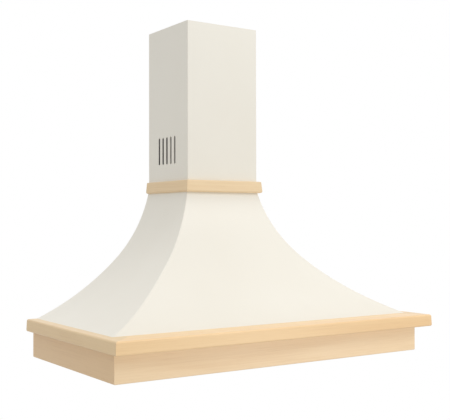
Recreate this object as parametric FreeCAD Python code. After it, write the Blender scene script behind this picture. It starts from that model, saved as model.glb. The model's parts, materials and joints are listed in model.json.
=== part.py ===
"""Wall-hung dome chimney hood with wooden trim.

Millimetres. X runs across the hood, +X to the right seen from the front. The wall is the plane
y = 0 and the hood stands out towards -Y. Z = 0 is the underside of the wooden fascia.
"""
import FreeCAD, Part
import math
import os

V = FreeCAD.Vector

# ---------------------------------------------------------------- wooden trim
MOULDING_W = 900.0          # across the moulding, the hood's nominal width
MOULDING_D = 500.0          # wall to the moulding's front
MOULDING_H = 30.0
MOULDING_LAP = 26.5         # how far the side boards reach in under the dome's foot
MOULDING_FRONT_LAP = 32.5
MOULDING_LEAN = 1.5         # how much the face draws in towards its top edge
MOULDING_TOP_R = 5.0
MOULDING_BOTTOM_R = 4.0
FASCIA_W = 864.0
FASCIA_D = 456.0
FASCIA_H = 65.0
FASCIA_T = 18.0
FASCIA_EDGE_R = 2.5
BAND_W = 232.0
BAND_D = 217.0
BAND_H = 30.0
BAND_LEAN = 3.0
BAND_BOTTOM_R = 5.0
BAND_TOP_R = 2.5
BAND_SCREW_SKIN = 3.0       # wood left in front of the band's screws
DOWEL_R = 4.0
DOWEL_LENGTH = 32.0
DOWEL_IN_FASCIA = 20.0
WOOD_HOLE_PLAY = 0.05       # radial play of dowels and screws in wood

# ---------------------------------------------------------------- dome
DOME_W = 845.0              # across the foot
DOME_D = 428.5
DOME_TOP_W = 218.0
DOME_TOP_D = 204.5
DOME_H = 316.0
SIDE_FOOT_ANGLE = 67.0      # from the vertical, where the side meets the moulding
SIDE_FOOT_R = 702.0         # bend of the side's lower stretch
SIDE_JOIN_ANGLE = 46.0      # from the vertical, where the tighter upper bend takes over
FRONT_FOOT_ANGLE = 53.0
FRONT_FOOT_R = 2700.0
FRONT_JOIN_ANGLE = 51.3
SHEET_T = 1.2
FOOT_FLANGE = 22.0
TOP_FLANGE = 14.0
WALL_FLANGE = 15.0
BACK_T = 1.5
BACK_NECK_H = 300.0         # how far the back panel reaches up behind the chimney
NECK_PLAY = 2.0
SHEET_PLAY = 0.2            # between the back panel's edge and the sheets round it

# ---------------------------------------------------------------- chimney
CHIMNEY_W = 213.0
CHIMNEY_D = 203.0
CHIMNEY_H = 433.0
CHIMNEY_BEND_R = 2.5
CHIMNEY_FLANGE = 14.0
SLOT_COUNT = 5
SLOT_W = 7.6
SLOT_LENGTH = 72.0
SLOT_PITCH = 20.2
SLOT_CENTRE_Y = -98.0
SLOT_FOOT = 74.0            # chimney foot to the slots' lower ends
EXTENSION_T = 1.0
EXTENSION_PLAY = 0.4        # sliding play all round
EXTENSION_TOP_SINK = 2.0    # how far the stored extension stays below the cover's edge
EXTENSION_FOOT = 40.0       # chimney foot to the stored extension's lower edge
STOP_TAB = 12.0
STOP_PLAY = 0.2
BRACKET_H = 20.0
BRACKET_T = 2.0
BRACKET_ARM = 60.0
BRACKET_SINK = 8.0
BRACKET_HOLE_SPACING = 120.0
BRACKET_HOLE_R = 3.0

# ---------------------------------------------------------------- underside
PAN_Z = 28.0
PAN_T = 1.2
PAN_PLAY = 0.5              # pan to the fascia and the back panel
PAN_RIM = 26.0
FILTER_W = 340.0
FILTER_T = 9.0
FILTER_PLAY = 1.5
FILTER_GAP = 40.0           # bar of the pan between the two bays
FILTER_REAR = 50.0          # wall to the bays
CONTROL_STRIP = 103.0       # bays to the fascia's front, with the lamps and buttons between
BAY_LIP = 10.0
FRAME_SKIN = 1.0
FRAME_LIP = 12.0
FRAME_FRONT = 26.0
TAB_W = 25.0
TAB_SPREAD = 220.0
TAB_LAP = 5.0
LAP_PLAY = 0.3              # tabs and tongue above the pan
TAB_T = 1.2
LATCH_W = 44.0
LATCH_LENGTH = 16.0
LATCH_T = 1.5
LATCH_PLAY = 0.3
TONGUE_W = 36.0
TONGUE_LAP = 4.0
LATCH_TRAVEL = 5.0
GRIP_W = 34.0
GRIP_T = 3.0
GRIP_DROP = 4.0

# ---------------------------------------------------------------- controls and lamps
CONTROL_SETBACK = 60.0      # fascia's front to the middle of the buttons and lamps
PANEL_W = 236.0
PANEL_D = 40.0
PANEL_T = 2.5
PANEL_R = 6.0
SWITCH_W = 206.0
SWITCH_D = 24.0
SWITCH_H = 24.0
SWITCH_WALL = 2.0
SWITCH_CAVITY = 12.0
SWITCH_PLAY = 1.0
BUTTON_COUNT = 5
BUTTON_PITCH = 38.0
BUTTON_W = 25.0
BUTTON_D = 11.0
BUTTON_R = 3.0
BUTTON_EDGE_R = 1.0
BUTTON_PLAY = 0.3
BUTTON_PROUD = 3.5
BUTTON_FLANGE = 2.0
BUTTON_FLANGE_T = 1.5
STEM_R = 3.0
STEM_H = 8.0
PANEL_SCREW_SPREAD = 220.0
PANEL_SCREW_PROUD = 6.0
LAMP_SPREAD = 500.0
LAMP_R = 34.0
LAMP_WINDOW_R = 25.0
LAMP_LIP = 1.2
LAMP_EDGE_R = 0.8
LENS_R = 27.9
LENS_T = 3.0
LENS_PLAY = 0.3
CAN_R = 29.5
CAN_WALL = 1.3
CAN_H = 34.0
CAN_PLAY = 0.3
CAN_EDGE_R = 4.0
BULB_R = 9.0
BULB_LENGTH = 20.0

# ---------------------------------------------------------------- blower
ROTOR_X = -60.0             # blower shaft, which points towards the room
ROTOR_Z = 232.0
ROTOR_R = 70.0
SCROLL_GAP = 8.0            # rotor to the scroll at the tongue
SCROLL_STEP = 7.0           # how much the scroll opens each quarter turn
TONGUE_ANGLE = 75.0
SCROLL_WALL = 2.0
SCROLL_REAR = -43.0
SCROLL_DEPTH = 114.0
SCROLL_TOP = 350.0
INLET_R = 60.0
INLET_RIM = 6.0
GRILLE_RINGS = 5
GRILLE_BAR = 2.4
GRILLE_SPOKES = 6
GRILLE_T = 2.0
BLADE_COUNT = 36
BLADE_T = 1.2
BLADE_DEPTH = 12.0
BLADE_LEAN = 22.0           # degrees that each blade runs ahead of the radius
ROTOR_REAR_GAP = 9.0
ROTOR_FRONT_GAP = 7.0
ROTOR_DISC_T = 2.0
HUB_R = 12.0
HUB_LENGTH = 54.0
SHAFT_R = 4.0
SHAFT_PLAY = 0.05
SHAFT_PROUD = 3.0           # beyond the hub nut
SHAFT_SINK = 2.0            # short of the motor's rear face
NUT_AF = 13.0
NUT_T = 5.0
MOTOR_R = 43.0
MOTOR_REAR = -8.0
MOTOR_LENGTH = 41.0
MOTOR_EDGE_R = 3.0
MOTOR_PLAY = 0.05           # motor in its bracket
MOTOR_HOLE_PLAY = 4.0
MOTOR_RING_R = 60.0
MOTOR_BRACKET_T = 2.0
MOTOR_GRIP = 10.0           # how much of the motor its bracket holds
MOTOR_SCREWS = 3
EAR_R = 6.0
EAR_SCREW_PROUD = 4.0

# ---------------------------------------------------------------- outlet
COLLAR_Y = -101.5
COLLAR_R = 74.5             # outside; it takes a 150 mm duct
COLLAR_T = 2.0
COLLAR_H = 77.0
PLATE_W = 160.0
PLATE_T = 3.0
FLAP_T = 1.2
FLAP_GAP = 1.2
FLAP_PIVOT_H = 39.0         # plate to the flaps' pin
PIN_R = 2.0
PIN_SEAT = 0.8              # how deep the pin's ends sit in blind holes in the collar
KNUCKLE_T = 1.5
KNUCKLE_W = 22.0
FLAP_CLEAR = 0.5
LEDGE_W = 3.5
LEDGE_T = 2.0
PLATE_SCREW_INSET = 8.0
PLATE_SCREW_PROUD = 2.0
PLATE_CORNER_R = 6.0
SUPPORT_T = 3.0
SUPPORT_W = 22.0
SUPPORT_DEPTH = 178.0
SUPPORT_H = 46.0

# ---------------------------------------------------------------- electrics
BOX_X = 152.0
BOX_Z = 178.0
BOX_W = 84.0
BOX_D = 38.0
BOX_H = 62.0
BOX_EDGE_R = 3.0
GLAND_R = 9.0
GLAND_H = 18.0
GLAND_BORE_R = 4.0
CAP_X = 116.0
CAP_Z = 236.0
CAP_R = 15.0
CAP_H = 52.0
CAP_EDGE_R = 2.0
CAP_STAND = 2.0
CAP_FOOT_W = 18.0
CAP_FOOT_INSET = 8.0

# ---------------------------------------------------------------- fasteners
SCREW_R = 2.0
SCREW_HEAD_R = 4.0
SCREW_HEAD_T = 2.4
HOLE_PLAY = 0.25            # radial play of a screw in sheet
WOOD_SCREW_LENGTH = 22.0
WALL_HOLE_R = 4.0
WALL_HOLE_SPACING_X = 190.0
WALL_HOLE_SPACING_Z = 222.0
WALL_HOLE_TOP = 372.0

# ---------------------------------------------------------------- worked out
MOULDING_Z = FASCIA_H
DOME_Z = MOULDING_Z + MOULDING_H
CHIMNEY_Z = DOME_Z + DOME_H
TOP_Z = CHIMNEY_Z + CHIMNEY_H
PAN_TOP = PAN_Z + PAN_T
FILTER_D = FASCIA_D - CONTROL_STRIP - FILTER_REAR - 2 * FILTER_PLAY
CONTROL_Y = -(FASCIA_D - CONTROL_SETBACK)
MOULDING_REACH_X = (MOULDING_W - DOME_W) / 2 + MOULDING_LAP
MOULDING_REACH_Y = MOULDING_D - DOME_D + MOULDING_FRONT_LAP
BAND_REACH_X = (BAND_W - CHIMNEY_W) / 2 - SHEET_PLAY
BAND_REACH_Y = BAND_D - CHIMNEY_D - SHEET_PLAY
HOLE_R = SCREW_R + HOLE_PLAY
WOOD_HOLE_R = SCREW_R + WOOD_HOLE_PLAY
FAR = 2000.0

SIDES = {"left": -1, "right": 1}


# ---------------------------------------------------------------- shapes used again and again
def box(x0, x1, y0, y1, z0, z1):
    return Part.makeBox(x1 - x0, y1 - y0, z1 - z0, V(x0, y0, z0))


def rod(radius, length, at, along):
    return Part.makeCylinder(radius, length, V(*at), V(*along))


def tube(outer, inner, length, at, along):
    return rod(outer, length, at, along).cut(rod(inner, length, at, along))


def arc(start, middle, end):
    return Part.Arc(V(*start), V(*middle), V(*end)).toShape()


def line(start, end):
    return Part.LineSegment(V(*start), V(*end)).toShape()


def polygon(points, vector):
    wire = Part.makePolygon([V(*p) for p in points] + [V(*points[0])])
    return Part.Face(wire).extrude(V(*vector))


def rounded_plate(width, depth, height, radius, x, y, z):
    """A flat plate with four rounded corners, its middle at x, y and its underside at z."""
    plate = box(x - width / 2, x + width / 2, y - depth / 2, y + depth / 2, z, z + height)
    upright = [e for e in plate.Edges if abs(e.tangentAt(e.FirstParameter).z) > 0.99]
    return plate.makeFillet(radius, upright)


def fuse(shapes):
    shapes = list(shapes)
    return shapes[0].fuse(shapes[1:]).removeSplitter() if len(shapes) > 1 else shapes[0]


def mirror_x(shape):
    return shape.mirror(V(0, 0, 0), V(1, 0, 0))


def screw(head, along, shank):
    """A pan-head screw: the head's seat is at head, the shank runs along."""
    back = [-a for a in along]
    body = rod(SCREW_R, shank, head, along)
    return body.fuse(rod(SCREW_HEAD_R, SCREW_HEAD_T, head, back)).removeSplitter()


def save(name, shape):
    shape.exportStep("parts/%s.step" % name)


# ---------------------------------------------------------------- the dome's two flares
class Flare:
    """The outline of a dome side: two arcs, from the foot up to the chimney, that meet in line.

    Radius here is the distance from the hood's middle plane, or from the wall for the front.
    """

    def __init__(self, foot, top, foot_angle, foot_radius, join_angle):
        self.foot = foot
        self.top = top
        self.angles = [math.radians(foot_angle), math.radians(join_angle), 0.0]
        low_r = foot + foot_radius * math.cos(self.angles[0])
        low_z = DOME_Z + foot_radius * math.sin(self.angles[0])
        out = (math.cos(self.angles[1]), math.sin(self.angles[1]))
        join_r = low_r - foot_radius * out[0]
        join_z = low_z - foot_radius * out[1]
        run_r = top - join_r
        run_z = CHIMNEY_Z - join_z
        high_radius = (run_r ** 2 + run_z ** 2) / (2 * (out[0] * run_r + out[1] * run_z))
        high_r = join_r + high_radius * out[0]
        high_z = join_z + high_radius * out[1]
        self.angles[2] = math.asin((high_z - CHIMNEY_Z) / high_radius)
        self.low = (low_r, low_z, foot_radius)
        self.high = (high_r, high_z, high_radius)
        self.join_z = join_z

    def radius_at(self, z, inset=0.0):
        """Where the sheet's outer face, or a face that lies inset behind it, is at height z."""
        centre_r, centre_z, bend = self.low if z < self.join_z else self.high
        bend += inset
        return centre_r - math.sqrt(bend ** 2 - (centre_z - z) ** 2)

    def points(self, inset, spare):
        """Ends and middles of the two arcs, run on past both ends by a spare angle."""
        foot, join, top = self.angles
        spans = [(self.low, foot + spare, join), (self.high, join, top - spare)]
        arcs = []
        for (centre_r, centre_z, bend), first, last in spans:
            angles = (first, (first + last) / 2, last)
            arcs.append([(centre_r - (bend + inset) * math.cos(a),
                          centre_z - (bend + inset) * math.sin(a)) for a in angles])
        return arcs

    def edges(self, inset, place, spare=0.03):
        return [arc(*[place(r, z) for r, z in points]) for points in self.points(inset, spare)]


side_flare = Flare(DOME_W / 2, DOME_TOP_W / 2, SIDE_FOOT_ANGLE, SIDE_FOOT_R, SIDE_JOIN_ANGLE)
front_flare = Flare(DOME_D, DOME_TOP_D, FRONT_FOOT_ANGLE, FRONT_FOOT_R, FRONT_JOIN_ANGLE)


def between(flare, outer, inner, place, vector):
    """The layer of a flare that lies between two insets, drawn out along a vector."""
    out_edges = flare.edges(outer, place)
    in_edges = flare.edges(inner, place)
    ends = []
    for at in ("FirstParameter", "LastParameter"):
        which = 0 if at == "FirstParameter" else -1
        ends.append(Part.LineSegment(out_edges[which].valueAt(getattr(out_edges[which], at)),
                                     in_edges[which].valueAt(getattr(in_edges[which], at))).toShape())
    wire = Part.Wire(Part.__sortEdges__(out_edges + in_edges + ends))
    return Part.Face(wire).extrude(V(*vector))


def behind(flare, inset, place, floor_point, roof_point, vector):
    """Everything behind a flare's face at an inset, back to a straight edge."""
    edges = flare.edges(inset, place)
    low = edges[0].valueAt(edges[0].FirstParameter)
    high = edges[-1].valueAt(edges[-1].LastParameter)
    rest = [Part.LineSegment(high, V(*roof_point)).toShape(),
            Part.LineSegment(V(*roof_point), V(*floor_point)).toShape(),
            Part.LineSegment(V(*floor_point), low).toShape()]
    return Part.Face(Part.Wire(Part.__sortEdges__(edges + rest))).extrude(V(*vector))


def right_side(r, z):
    return (r, 0, z)


def front_side(r, z):
    return (-MOULDING_W / 2, -r, z)


def inside_sides(inset):
    """The space between the two side sheets' faces at an inset."""
    half = behind(side_flare, inset, right_side, (0, 0, DOME_Z - SHEET_T * 4),
                  (0, 0, CHIMNEY_Z + SHEET_T * 4), (0, -MOULDING_D, 0))
    return half.fuse(mirror_x(half)).removeSplitter()


def behind_front(inset):
    """The space between the wall and the front sheet's face at an inset."""
    wall_low = (-MOULDING_W / 2, 0, DOME_Z - SHEET_T * 4)
    wall_high = (-MOULDING_W / 2, 0, CHIMNEY_Z + SHEET_T * 4)
    return behind(front_flare, inset, front_side, wall_low, wall_high, (MOULDING_W, 0, 0))


dome_heights = box(-FAR, FAR, -FAR, FAR, DOME_Z, CHIMNEY_Z)
FLANGE_TOP_Z = DOME_Z + SHEET_T
TOP_FLANGE_Z = CHIMNEY_Z - SHEET_T


def dome_screw_places():
    """Heads of the screws that hold the dome's foot flange down on the moulding."""
    front_y = -(DOME_D - FOOT_FLANGE * 0.7)
    side_x = DOME_W / 2 - FOOT_FLANGE * 0.7
    places = [(DOME_W * share, front_y) for share in (-0.38, -0.13, 0.13, 0.38)]
    for sign in SIDES.values():
        places += [(sign * side_x, -DOME_D * share) for share in (0.2, 0.5, 0.8)]
    return [(x, y, FLANGE_TOP_Z) for x, y in places]


def rivet_places():
    """Heads of the rivets that hold the dome's wall flanges to the back panel."""
    places = []
    for share in (0.12, 0.4, 0.68, 0.92):
        z = DOME_Z + DOME_H * share
        x = side_flare.radius_at(z, SHEET_T + WALL_FLANGE / 2)
        places += [(x, z), (-x, z)]
    return places


def dome_screws():
    return Part.makeCompound([screw(p, (0, 0, -1), WOOD_SCREW_LENGTH) for p in dome_screw_places()])


def dome_front():
    sheet = between(front_flare, 0, SHEET_T, front_side, (MOULDING_W, 0, 0))
    panel = sheet.common(inside_sides(0)).common(dome_heights)
    flanges = inside_sides(SHEET_T).common(behind_front(SHEET_T / 2))
    reach = DOME_D - FOOT_FLANGE
    foot = box(-FAR, FAR, -DOME_D, -reach, DOME_Z, FLANGE_TOP_Z)
    top = box(-FAR, FAR, -DOME_TOP_D - SHEET_T * 4, -(DOME_TOP_D - TOP_FLANGE), TOP_FLANGE_Z, CHIMNEY_Z)
    panel = fuse([panel, flanges.common(foot), flanges.common(top)])
    for place in dome_screw_places()[:4]:
        panel = panel.cut(rod(HOLE_R, SHEET_T * 3, (place[0], place[1], DOME_Z - SHEET_T), (0, 0, 1)))
    return panel


def dome_right():
    sheet = between(side_flare, 0, SHEET_T, right_side, (0, -MOULDING_D, 0))
    inner = behind_front(SHEET_T)
    half = box(0, FAR, -FAR, 0, DOME_Z, CHIMNEY_Z)
    panel = sheet.common(inner).common(half)
    room = inner.common(behind(side_flare, SHEET_T / 2, right_side, (0, 0, DOME_Z - SHEET_T * 4),
                               (0, 0, CHIMNEY_Z + SHEET_T * 4), (0, -MOULDING_D, 0))).common(half)
    reach = DOME_W / 2 - FOOT_FLANGE
    foot = box(reach, DOME_W / 2, -(DOME_D - FOOT_FLANGE - SHEET_PLAY), -BACK_T, DOME_Z, FLANGE_TOP_Z)
    top_reach = DOME_TOP_W / 2 - TOP_FLANGE
    top_front = -(DOME_TOP_D - TOP_FLANGE - SHEET_PLAY)
    top = box(top_reach, DOME_TOP_W / 2 + SHEET_T * 4, top_front, -BACK_T, TOP_FLANGE_Z, CHIMNEY_Z)
    wall = between(side_flare, SHEET_T / 2, SHEET_T + WALL_FLANGE, right_side, (0, -MOULDING_D, 0))
    wall = wall.common(box(0, FAR, -BACK_T - SHEET_T, -BACK_T, DOME_Z, CHIMNEY_Z))
    panel = fuse([panel, room.common(foot), room.common(top), wall])
    for x, y, z in dome_screw_places()[4:]:
        panel = panel.cut(rod(HOLE_R, SHEET_T * 3, (x, y, DOME_Z - SHEET_T), (0, 0, 1)))
    for x, z in rivet_places():
        panel = panel.cut(rod(HOLE_R, SHEET_T * 3, (x, -BACK_T - SHEET_T * 2, z), (0, 1, 0)))
    return panel


def back_panel():
    """The plate on the wall: behind the trim, across the dome, and as a neck between the chimney's wall flanges."""
    low_half = FASCIA_W / 2 - FASCIA_T - PAN_PLAY
    trim_half = MOULDING_W / 2 - MOULDING_REACH_X - PAN_PLAY
    low = box(-low_half, low_half, -BACK_T, 0, 0, MOULDING_Z)
    middle = box(-trim_half, trim_half, -BACK_T, 0, MOULDING_Z, DOME_Z)
    upper = inside_sides(SHEET_T + SHEET_PLAY).common(box(-FAR, FAR, -BACK_T, 0, DOME_Z, TOP_FLANGE_Z))
    neck_half = CHIMNEY_W / 2 - SHEET_T - CHIMNEY_FLANGE - NECK_PLAY
    neck = box(-neck_half, neck_half, -BACK_T, 0, TOP_FLANGE_Z - SHEET_T, CHIMNEY_Z + BACK_NECK_H)
    panel = fuse([low, middle, upper, neck])
    for x, z in wall_hole_places():
        panel = panel.cut(rod(WALL_HOLE_R, BACK_T * 3, (x, -BACK_T * 2, z), (0, 1, 0)))
    for x, z in rivet_places():
        panel = panel.cut(rod(HOLE_R, BACK_T * 3, (x, -BACK_T * 2, z), (0, 1, 0)))
    return panel


def wall_hole_places():
    low = WALL_HOLE_TOP - WALL_HOLE_SPACING_Z
    return [(sign * WALL_HOLE_SPACING_X / 2, z) for sign in (-1, 1) for z in (low, WALL_HOLE_TOP)]


def rivets():
    """Flush rivets: their tails stop at the wall plane."""
    grip = BACK_T + SHEET_T
    return Part.makeCompound([screw((x, -grip, z), (0, 1, 0), grip) for x, z in rivet_places()])


# ---------------------------------------------------------------- wooden trim
def board(outline, width, depth, part, corner_inset_x, corner_inset_y):
    """A board of the trim that runs round the hood's front and two sides, cut at its mitres.

    outline gives the board's section as a wire in the plane y = 0 for a board on the right, with
    distances outwards from the wall or the middle plane. The mitre runs from the outer corner.
    """
    far = FAR
    corner = (width / 2, -depth)
    cut_in = min(corner_inset_x, corner_inset_y)
    inner = (corner[0] - cut_in, corner[1] + cut_in)
    front_zone = [(-corner[0], corner[1]), (-inner[0], inner[1]), (-inner[0], corner[1] + corner_inset_y),
                  (inner[0], corner[1] + corner_inset_y), inner, corner]
    front_zone = polygon([(x, y, -far) for x, y in front_zone], (0, 0, 2 * far))
    if part == "front":
        return outline.common(front_zone)
    side = outline.common(box(0, far, -far, 0, -far, far)).cut(front_zone)
    return side if part == "right" else mirror_x(side)


def moulding_section(width, depth, bottom, height, reach_x, reach_y, lean, low_r, high_r):
    """A frame with three sides and a leaning, rounded outer face, open at the wall."""
    def layer(inset, z):
        return Part.Face(Part.makePolygon([V(-width / 2 + inset, 0, z), V(width / 2 - inset, 0, z),
                                           V(width / 2 - inset, -depth + inset, z),
                                           V(-width / 2 + inset, -depth + inset, z),
                                           V(-width / 2 + inset, 0, z)]))

    low = layer(0, bottom)
    high = layer(lean, bottom + height)
    block = Part.makeLoft([low.OuterWire, high.OuterWire], True, True)
    lower_edges = [e for e in block.Edges if outer_edge(e, bottom)]
    block = block.makeFillet(low_r, lower_edges)
    upper_edges = [e for e in block.Edges if outer_edge(e, bottom + height)]
    block = block.makeFillet(high_r, upper_edges)
    hollow = box(-width / 2 + reach_x, width / 2 - reach_x, -depth + reach_y, 1, bottom - 1,
                 bottom + height + 1)
    return block.cut(hollow)


def outer_edge(edge, z):
    """True for the edges of a trim block at height z that don't lie against the wall."""
    middle = edge.valueAt((edge.FirstParameter + edge.LastParameter) / 2)
    return abs(middle.z - z) < 0.01 and middle.y < -0.01


def moulding():
    frame = moulding_section(MOULDING_W, MOULDING_D, MOULDING_Z, MOULDING_H, MOULDING_REACH_X,
                             MOULDING_REACH_Y, MOULDING_LEAN, MOULDING_BOTTOM_R, MOULDING_TOP_R)
    for x, y, z in dome_screw_places():
        frame = frame.cut(rod(WOOD_HOLE_R, WOOD_SCREW_LENGTH, (x, y, z - WOOD_SCREW_LENGTH), (0, 0, 1)))
    return frame.cut(dowel_rods(WOOD_HOLE_PLAY))


def fascia():
    frame = moulding_section(FASCIA_W, FASCIA_D, 0, FASCIA_H, FASCIA_T, FASCIA_T, 0.0,
                             FASCIA_EDGE_R, FASCIA_EDGE_R / 5)
    for head, along in pan_screw_places():
        start = [h + a * PAN_T for h, a in zip(head, along)]
        frame = frame.cut(rod(WOOD_HOLE_R, FASCIA_T * 0.7 + PAN_PLAY, start, along))
    return frame.cut(dowel_rods(WOOD_HOLE_PLAY))


def band():
    frame = moulding_section(BAND_W, BAND_D, CHIMNEY_Z, BAND_H, BAND_REACH_X, BAND_REACH_Y, BAND_LEAN,
                             BAND_BOTTOM_R, BAND_TOP_R)
    for head, along in band_screw_places():
        frame = frame.cut(rod(WOOD_HOLE_R, BAND_SCREW, head, along))
    return frame


def dowel_rods(play):
    """Dowels that stand in the fascia's top edge and reach up into the moulding."""
    middle_x = FASCIA_W / 2 - FASCIA_T / 2
    middle_y = FASCIA_D - FASCIA_T / 2
    places = [(FASCIA_W * share, -middle_y) for share in (-0.36, -0.12, 0.12, 0.36)]
    for sign in SIDES.values():
        places += [(sign * middle_x, -FASCIA_D * share) for share in (0.35, 0.8)]
    foot = FASCIA_H - DOWEL_IN_FASCIA
    return Part.makeCompound([rod(DOWEL_R + play, DOWEL_LENGTH, (x, y, foot), (0, 0, 1))
                              for x, y in places])


# ---------------------------------------------------------------- chimney
def slot_cutter(shift):
    """The vent slots on both sides, as one cutter that goes right across the chimney."""
    slots = []
    low = CHIMNEY_Z + SLOT_FOOT + SLOT_W / 2
    high = CHIMNEY_Z + SLOT_FOOT + SLOT_LENGTH - SLOT_W / 2
    for index in range(SLOT_COUNT):
        y = SLOT_CENTRE_Y + (index - (SLOT_COUNT - 1) / 2) * SLOT_PITCH
        for z in (low, high):
            slots.append(rod(SLOT_W / 2, CHIMNEY_W * 2, (-CHIMNEY_W, y, z + shift), (1, 0, 0)))
        slots.append(box(-CHIMNEY_W, CHIMNEY_W, y - SLOT_W / 2, y + SLOT_W / 2, low + shift, high + shift))
    return fuse(slots)


def channel(width, depth, bottom, top, thickness, bend, flange):
    """A folded sheet with three sides and two flanges that turn in along the wall."""
    solid = box(-width / 2, width / 2, -depth, 0, bottom, top)
    corners = [e for e in solid.Edges if abs(e.tangentAt(e.FirstParameter).z) > 0.99
               and e.CenterOfMass.y < -1]
    solid = solid.makeFillet(bend, corners)
    inner = box(-width / 2 + thickness, width / 2 - thickness, -depth + thickness, -thickness,
                bottom - 1, top + 1)
    corners = [e for e in inner.Edges if abs(e.tangentAt(e.FirstParameter).z) > 0.99
               and e.CenterOfMass.y < -thickness - 1]
    inner = inner.makeFillet(bend - thickness, corners)
    half_gap = width / 2 - thickness - flange
    return solid.cut(inner).cut(box(-half_gap, half_gap, -thickness * 2, 1, bottom - 1, top + 1))


BAND_SCREW = SHEET_T + (BAND_W - CHIMNEY_W) / 2 - BAND_SCREW_SKIN
BAND_SCREW_Z = CHIMNEY_Z + BAND_H / 2


def band_screw_places():
    """Heads of the screws that hold the band, driven outwards from inside the chimney."""
    side_x = CHIMNEY_W / 2 - SHEET_T
    front_y = -CHIMNEY_D + SHEET_T
    places = [((side_x * sign, -CHIMNEY_D * share, BAND_SCREW_Z), (sign, 0, 0))
              for sign in SIDES.values() for share in (0.3, 0.75)]
    places += [((CHIMNEY_W * share, front_y, BAND_SCREW_Z), (0, -1, 0)) for share in (-0.3, 0.3)]
    return places


def band_screws():
    return Part.makeCompound([screw(head, along, BAND_SCREW) for head, along in band_screw_places()])


def chimney_cover():
    shape = channel(CHIMNEY_W, CHIMNEY_D, CHIMNEY_Z, TOP_Z, SHEET_T, CHIMNEY_BEND_R, CHIMNEY_FLANGE)
    shape = shape.cut(slot_cutter(0))
    for head, along in band_screw_places():
        shape = shape.cut(rod(HOLE_R, SHEET_T * 2, head, along))
    tab_top = EXTENSION_Z - STOP_PLAY
    for sign in SIDES.values():
        wall = sign * (CHIMNEY_W / 2 - SHEET_T)
        tip = wall - sign * STOP_TAB
        shape = shape.fuse(box(min(wall, tip), max(wall, tip), -CHIMNEY_D * 0.55, -CHIMNEY_D * 0.45,
                               tab_top - SHEET_T, tab_top))
    return shape.removeSplitter()


EXTENSION_W = CHIMNEY_W - 2 * (SHEET_T + EXTENSION_PLAY)
EXTENSION_D = CHIMNEY_D - 2 * (SHEET_T + EXTENSION_PLAY)
EXTENSION_Z = CHIMNEY_Z + EXTENSION_FOOT
EXTENSION_TOP = TOP_Z - EXTENSION_TOP_SINK
EXTENSION_BACK = -(SHEET_T + EXTENSION_PLAY)


def extension_screw_places():
    z = EXTENSION_TOP - BRACKET_SINK - BRACKET_H / 2
    x = EXTENSION_W / 2 - EXTENSION_T - BRACKET_T
    return [((sign * x, EXTENSION_BACK - BRACKET_ARM * 0.6, z), (sign, 0, 0)) for sign in SIDES.values()]


def chimney_extension():
    shape = channel(EXTENSION_W, EXTENSION_D, EXTENSION_Z, EXTENSION_TOP, EXTENSION_T,
                    CHIMNEY_BEND_R - EXTENSION_T / 2, CHIMNEY_FLANGE)
    shape.translate(V(0, EXTENSION_BACK, 0))
    shape = shape.cut(slot_cutter(0))
    for head, along in extension_screw_places():
        shape = shape.cut(rod(HOLE_R, BRACKET_T * 3, head, along))
    return shape


def chimney_bracket():
    """A strap that the extension screws to, and that is fixed to the wall near the ceiling."""
    top = EXTENSION_TOP - BRACKET_SINK
    bottom = top - BRACKET_H
    side = EXTENSION_W / 2 - EXTENSION_T
    plate_half = side - CHIMNEY_FLANGE - 1.0
    lap_back = EXTENSION_BACK - EXTENSION_T
    shape = box(-plate_half, plate_half, lap_back - BRACKET_T, 0, bottom, top)
    shape = shape.cut(box(-plate_half + BRACKET_T, plate_half - BRACKET_T, lap_back - BRACKET_T, -BRACKET_T,
                          bottom, top))
    for sign in SIDES.values():
        inner = sign * (plate_half - BRACKET_T)
        outer = sign * side
        arm = sign * (side - BRACKET_T)
        shape = shape.fuse(box(min(inner, outer), max(inner, outer), lap_back - BRACKET_T, lap_back,
                               bottom, top))
        shape = shape.fuse(box(min(arm, outer), max(arm, outer), lap_back - BRACKET_ARM, lap_back,
                               bottom, top))
    for sign in SIDES.values():
        at = (sign * BRACKET_HOLE_SPACING / 2, -BRACKET_T * 2, (bottom + top) / 2)
        shape = shape.cut(rod(BRACKET_HOLE_R, BRACKET_T * 4, at, (0, 1, 0)))
    for head, along in extension_screw_places():
        shape = shape.cut(rod(HOLE_R, BRACKET_T * 2, head, along))
    return shape.removeSplitter()


def extension_screws():
    grip = BRACKET_T + EXTENSION_T
    return Part.makeCompound([screw(head, along, grip) for head, along in extension_screw_places()])


# ---------------------------------------------------------------- underside pan
PAN_HALF = FASCIA_W / 2 - FASCIA_T - PAN_PLAY
PAN_FRONT = -(FASCIA_D - FASCIA_T - PAN_PLAY)
PAN_REAR = -BACK_T
BAY_REAR = -FILTER_REAR
BAY_FRONT = BAY_REAR - FILTER_D - 2 * FILTER_PLAY
BAY_INNER = FILTER_GAP / 2
BAY_OUTER = BAY_INNER + FILTER_W + 2 * FILTER_PLAY


def pan_screw_places():
    """Heads of the screws through the pan's rails into the fascia."""
    z = PAN_Z + PAN_RIM * 0.6
    places = [((PAN_HALF * share, PAN_FRONT + PAN_T, z), (0, -1, 0)) for share in (-0.6, -0.2, 0.2, 0.6)]
    for sign in SIDES.values():
        places += [((sign * (PAN_HALF - PAN_T), FASCIA_D * share, z), (sign, 0, 0))
                   for share in (-0.25, -0.7)]
    return places


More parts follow.
